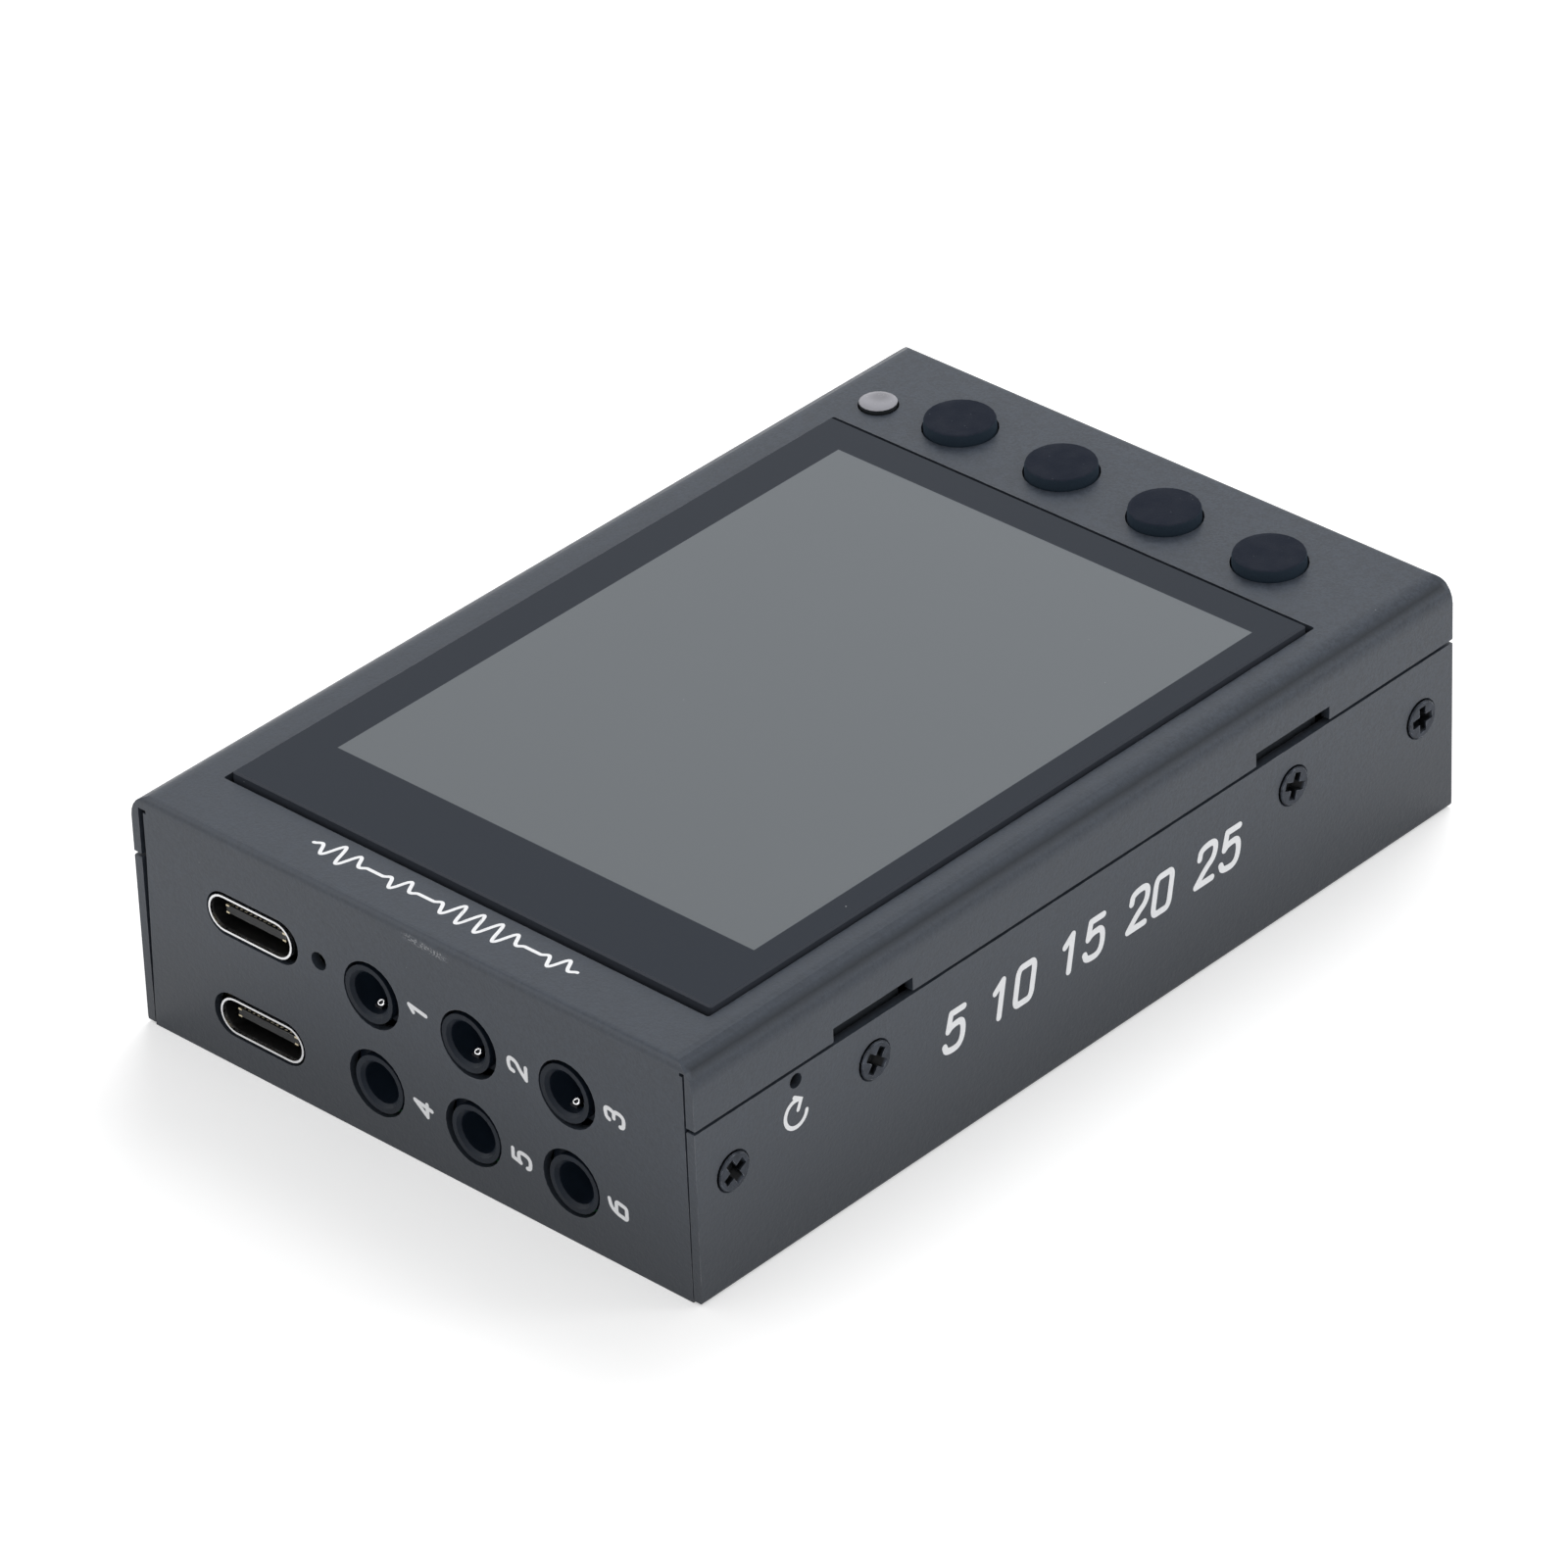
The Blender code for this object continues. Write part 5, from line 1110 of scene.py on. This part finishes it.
class TRAINER_OT_spring_tips(bpy.types.Operator):
    """Press the polished contact ring into the nose of each upper jack's spring"""

    bl_idname = "trainer.spring_tips"
    bl_label = "Add Spring Tips"

    def execute(self, context):
        metal = context.scene.trainer_metal
        polished = metal_finish(
            "polished_tip", metal.polished, roughness=0.14, direction=(1.0, 1.0, 1.0),
            tarnish=(0.6, 0.6, 0.6), spots=0.1
        )
        for number in (1, 2, 3):
            low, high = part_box("jack_contact_upper_%d" % number)
            centre = Vector(((low.x + high.x) / 2, low.y + metal.tip_inset, high.z))
            mesh = bmesh.new()
            self.add_ring(mesh, centre, metal.tip_radius, metal.tip_wire)
            piece = keep_piece("spring_tip_%d" % number, mesh, polished)
            round_shading(piece)
        return {"FINISHED"}

    @staticmethod
    def add_ring(mesh, centre, radius, wire, around=20, across=10):
        """Adds a rolled ring that leans towards the mouth of the jack."""
        lean = Matrix.Rotation(math.radians(38), 3, "X")
        rings = []
        for step in range(around):
            turn = 2 * math.pi * step / around
            out = Vector((math.cos(turn), math.sin(turn), 0.0))
            ring = []
            for part in range(across):
                roll = 2 * math.pi * part / across
                point = out * (radius + wire * math.cos(roll)) + Vector((0.0, 0.0, wire * math.sin(roll)))
                ring.append(mesh.verts.new(centre + lean @ point))
            rings.append(ring)
        join_round(mesh, rings)


class TRAINER_OT_socket_figures(bpy.types.Operator):
    """Print plain figures beside the six jacks"""

    bl_idname = "trainer.socket_figures"
    bl_label = "Print Socket Figures"

    def execute(self, context):
        mark = context.scene.trainer_marks
        for figure, x, z in SOCKET_FIGURES:
            mesh = bmesh.new()
            place = face_place((x, END_FACE, z), (0, 0, 1), (-1, 0, 0))
            corner = (-0.40 * mark.socket_height, -mark.socket_height / 2)
            add_figure(mesh, figure, corner, mark.socket_height, mark.socket_line, mark, place)
            keep_piece("socket_figure_" + figure, mesh, ink(mark))
        return {"FINISHED"}


class TRAINER_OT_scale(bpy.types.Operator):
    """Print a plain scale of numbers along the side of the case"""

    bl_idname = "trainer.scale"
    bl_label = "Print the Side Scale"

    def execute(self, context):
        mark = context.scene.trainer_marks
        mesh = bmesh.new()
        place = face_place(SCALE_PLACE, (0, 1, 0), (0, 0, 1))
        start = 0.0
        for number in SCALE_NUMBERS:
            for figure in number:
                add_figure(mesh, figure, (start, 0.0), mark.scale_height, mark.scale_line, mark, place)
                start += mark.scale_pitch
            start += mark.scale_gap
        keep_piece("side_scale", mesh, ink(mark))
        return {"FINISHED"}


class TRAINER_OT_wave(bpy.types.Operator):
    """Print a keyed tone as a thin wave on the strip in front of the display"""

    bl_idname = "trainer.wave"
    bl_label = "Print the Tone Wave"

    def execute(self, context):
        mark = context.scene.trainer_marks
        mesh = bmesh.new()
        place = face_place(WAVE_PLACE, (-1, 0, 0), (0, -1, 0))
        path, start, steps = [], 0.0, 24
        for beats in WAVE_BEATS:
            for step in range(beats * steps + 1):
                turn = step / steps
                ease = min(1.0, turn, beats - turn)
                swing = mark.wave_swing * math.sin(2 * math.pi * turn) * ease
                path.append(Vector((start + turn * mark.wave_pitch, swing)))
            start += (beats + WAVE_REST) * mark.wave_pitch
        add_stroke(mesh, path, mark.wave_line, place, mark.ink_height)
        keep_piece("tone_wave", mesh, ink(mark))
        return {"FINISHED"}


class TRAINER_OT_arrow(bpy.types.Operator):
    """Print a turning arrow beside the reset hole"""

    bl_idname = "trainer.arrow"
    bl_label = "Print the Reset Arrow"

    def execute(self, context):
        mark = context.scene.trainer_marks
        mesh = bmesh.new()
        place = face_place(ARROW_PLACE, (0, 1, 0), (0, 0, 1))
        radius, steps = mark.arrow_radius, 28
        turns = [math.radians(ARROW_START + ARROW_SWEEP * step / steps) for step in range(steps + 1)]
        path = [radius * Vector((math.cos(turn), math.sin(turn))) for turn in turns]
        add_stroke(mesh, path, mark.arrow_line, place, mark.ink_height)
        head = [path[0] + radius * Vector(side) for side in ARROW_HEAD]
        add_stroke(mesh, head, mark.arrow_line, place, 0.9 * mark.ink_height)
        keep_piece("reset_arrow", mesh, ink(mark))
        return {"FINISHED"}


class TRAINER_OT_studio(bpy.types.Operator):
    """Set the floor, the lamps, the light all round and the camera"""

    bl_idname = "trainer.studio"
    bl_label = "Set the Studio"

    def execute(self, context):
        studio = context.scene.trainer_studio
        self.lay_floor(studio)
        self.light_world(context, studio)
        self.hang_lamp("key_lamp", studio.key_place, studio.key_size, studio.key_power)
        self.hang_lamp("side_lamp", studio.side_place, studio.side_size, studio.side_power)
        self.place_camera(context, studio)
        context.scene.view_settings.view_transform = "Standard"
        return {"FINISHED"}

    @staticmethod
    def seen(wires):
        """One for rays that show the background: from the camera, off gloss or through glass."""
        path = wires.add("ShaderNodeLightPath").outputs
        either = wires.maths("MAXIMUM", path["Is Camera Ray"], path["Is Glossy Ray"])
        return wires.maths("MAXIMUM", either, path["Is Transmission Ray"])

    def lay_floor(self, studio):
        """Lays the pale floor, which keeps the object's shadow."""
        finish, wires, shader = new_finish("pale_floor")
        wires.put(shader, "Base Color", (*studio.floor, 1.0))
        wires.put(shader, "Roughness", 0.9)
        wires.put(shader, "Specular IOR Level", 0.1)
        wires.put(shader, "Emission Color", (1.0, 1.0, 1.0, 1.0))
        wires.put(shader, "Emission Strength", wires.times(self.seen(wires), studio.lift))
        under = wires.add("ShaderNodeNewGeometry").outputs["Backfacing"]
        wires.put(shader, "Alpha", wires.maths("SUBTRACT", 1.0, under))
        mesh = bmesh.new()
        bmesh.ops.create_grid(mesh, x_segments=24, y_segments=24, size=studio.floor_size / 2)
        bmesh.ops.translate(mesh, verts=mesh.verts, vec=(0.0, 0.0, FOOT - studio.floor_drop))
        floor = add_mesh("floor", mesh, finish)

    def light_world(self, context, studio):
        """Lights the scene from all round, shows white behind it and a dimmer sky where gloss looks up."""
        world = bpy.data.worlds.new("studio_world")
        world.use_nodes = True
        world.node_tree.nodes.clear()
        wires = Wiring(world.node_tree)
        looking = wires.add("ShaderNodeTexCoord").outputs["Generated"]
        way = wires.parts(looking)
        # The limits are sines of the angles at which the backdrop's tone starts and stops changing
        sides = wires.ramp(way["X"], -0.38, 0.26, studio.bright_side, studio.dark_side, smooth=True)
        near = wires.ramp(way["Y"], 0.25, -0.35, 1.0, studio.near_side, smooth=True)
        sides = wires.times(sides, near)
        sheen = wires.times(sides, wires.ramp(way["Z"], 0.02, 0.25, 0.6, 1.0, smooth=True))
        toward = wires.vector("DOT_PRODUCT", looking, tuple(Vector(studio.side_place).normalized()))
        wide, narrow = math.cos(studio.glow_spread), math.cos(0.15 * studio.glow_spread)
        glow = wires.ramp(toward, wide, narrow, 0.0, studio.side_glow, smooth=True)
        sheen = wires.maths("ADD", sheen, glow)
        shown = wires.maths("MAXIMUM", sheen, wires.add("ShaderNodeLightPath").outputs["Is Camera Ray"])
        more = wires.maths("SUBTRACT", shown, studio.ambient)
        strength = wires.maths("MULTIPLY_ADD", self.seen(wires), more, studio.ambient)
        light = wires.add("ShaderNodeBackground", {"Color": (1.0, 1.0, 1.0, 1.0), "Strength": strength})
        wires.add("ShaderNodeOutputWorld", {"Surface": light.outputs["Background"]})
        context.scene.world = world

    @staticmethod
    def hang_lamp(name, place, size, power):
        """Hangs one square soft lamp that faces the object. In gloss the world's soft glow stands for it."""
        lamp = bpy.data.lights.new(name, "AREA")
        lamp.shape = "SQUARE"
        lamp.size = size
        lamp.energy = power
        hung = add_object(name, lamp)
        hung.location = place
        hung.rotation_euler = (-Vector(place)).to_track_quat("-Z", "Y").to_euler()
        hung.visible_glossy = False

    @staticmethod
    def place_camera(context, studio):
        """Places the camera."""
        data = bpy.data.cameras.new("camera")
        data.sensor_width = 36.0
        data.lens = studio.focal
        data.clip_start = 0.01
        camera = add_object("camera", data)
        turned = Euler(studio.camera_turn).to_matrix().to_4x4()
        camera.matrix_world = Matrix.Translation(studio.camera_place) @ turned
        context.scene.camera = camera


OPERATORS = (
    TRAINER_OT_case, TRAINER_OT_display, TRAINER_OT_buttons, TRAINER_OT_lights, TRAINER_OT_metal,
    TRAINER_OT_inside, TRAINER_OT_contacts, TRAINER_OT_spring_tips, TRAINER_OT_socket_figures,
    TRAINER_OT_scale, TRAINER_OT_wave, TRAINER_OT_arrow, TRAINER_OT_studio,
)

SETTINGS = {
    "trainer_coat": CoatFinish, "trainer_display": DisplayFinish, "trainer_buttons": ButtonFinish,
    "trainer_lights": LightFinish, "trainer_metal": MetalFinish, "trainer_inside": InsideFinish,
    "trainer_marks": MarkSettings, "trainer_studio": StudioSettings,
}


class TRAINER_PT_panel(bpy.types.Panel):
    """The trainer's operators and settings"""

    bl_idname = "TRAINER_PT_panel"
    bl_label = "Morse Code Trainer"
    bl_space_type = "VIEW_3D"
    bl_region_type = "UI"
    bl_category = "Trainer"

    def draw(self, context):
        column = self.layout.column(align=True)
        for operator in OPERATORS:
            column.operator(operator.bl_idname)
        for name, group in SETTINGS.items():
            box = self.layout.box()
            box.label(text=group.__doc__.split(":")[0].rstrip("."))
            for key in group.__annotations__:
                box.prop(getattr(context.scene, name), key)


CLASSES = (*SETTINGS.values(), *OPERATORS, TRAINER_PT_panel)


def register():
    for kind in CLASSES:
        bpy.utils.register_class(kind)
    for name, group in SETTINGS.items():
        setattr(bpy.types.Scene, name, bpy.props.PointerProperty(type=group))


def unregister():
    for name in SETTINGS:
        delattr(bpy.types.Scene, name)
    for kind in reversed(CLASSES):
        bpy.utils.unregister_class(kind)


def main():
    """Dresses the frame."""
    register()
    for operator in OPERATORS:
        group, name = operator.bl_idname.split(".")
        getattr(getattr(bpy.ops, group), name)()
    bpy.context.view_layer.update()


if __name__ == "__main__":
    main()
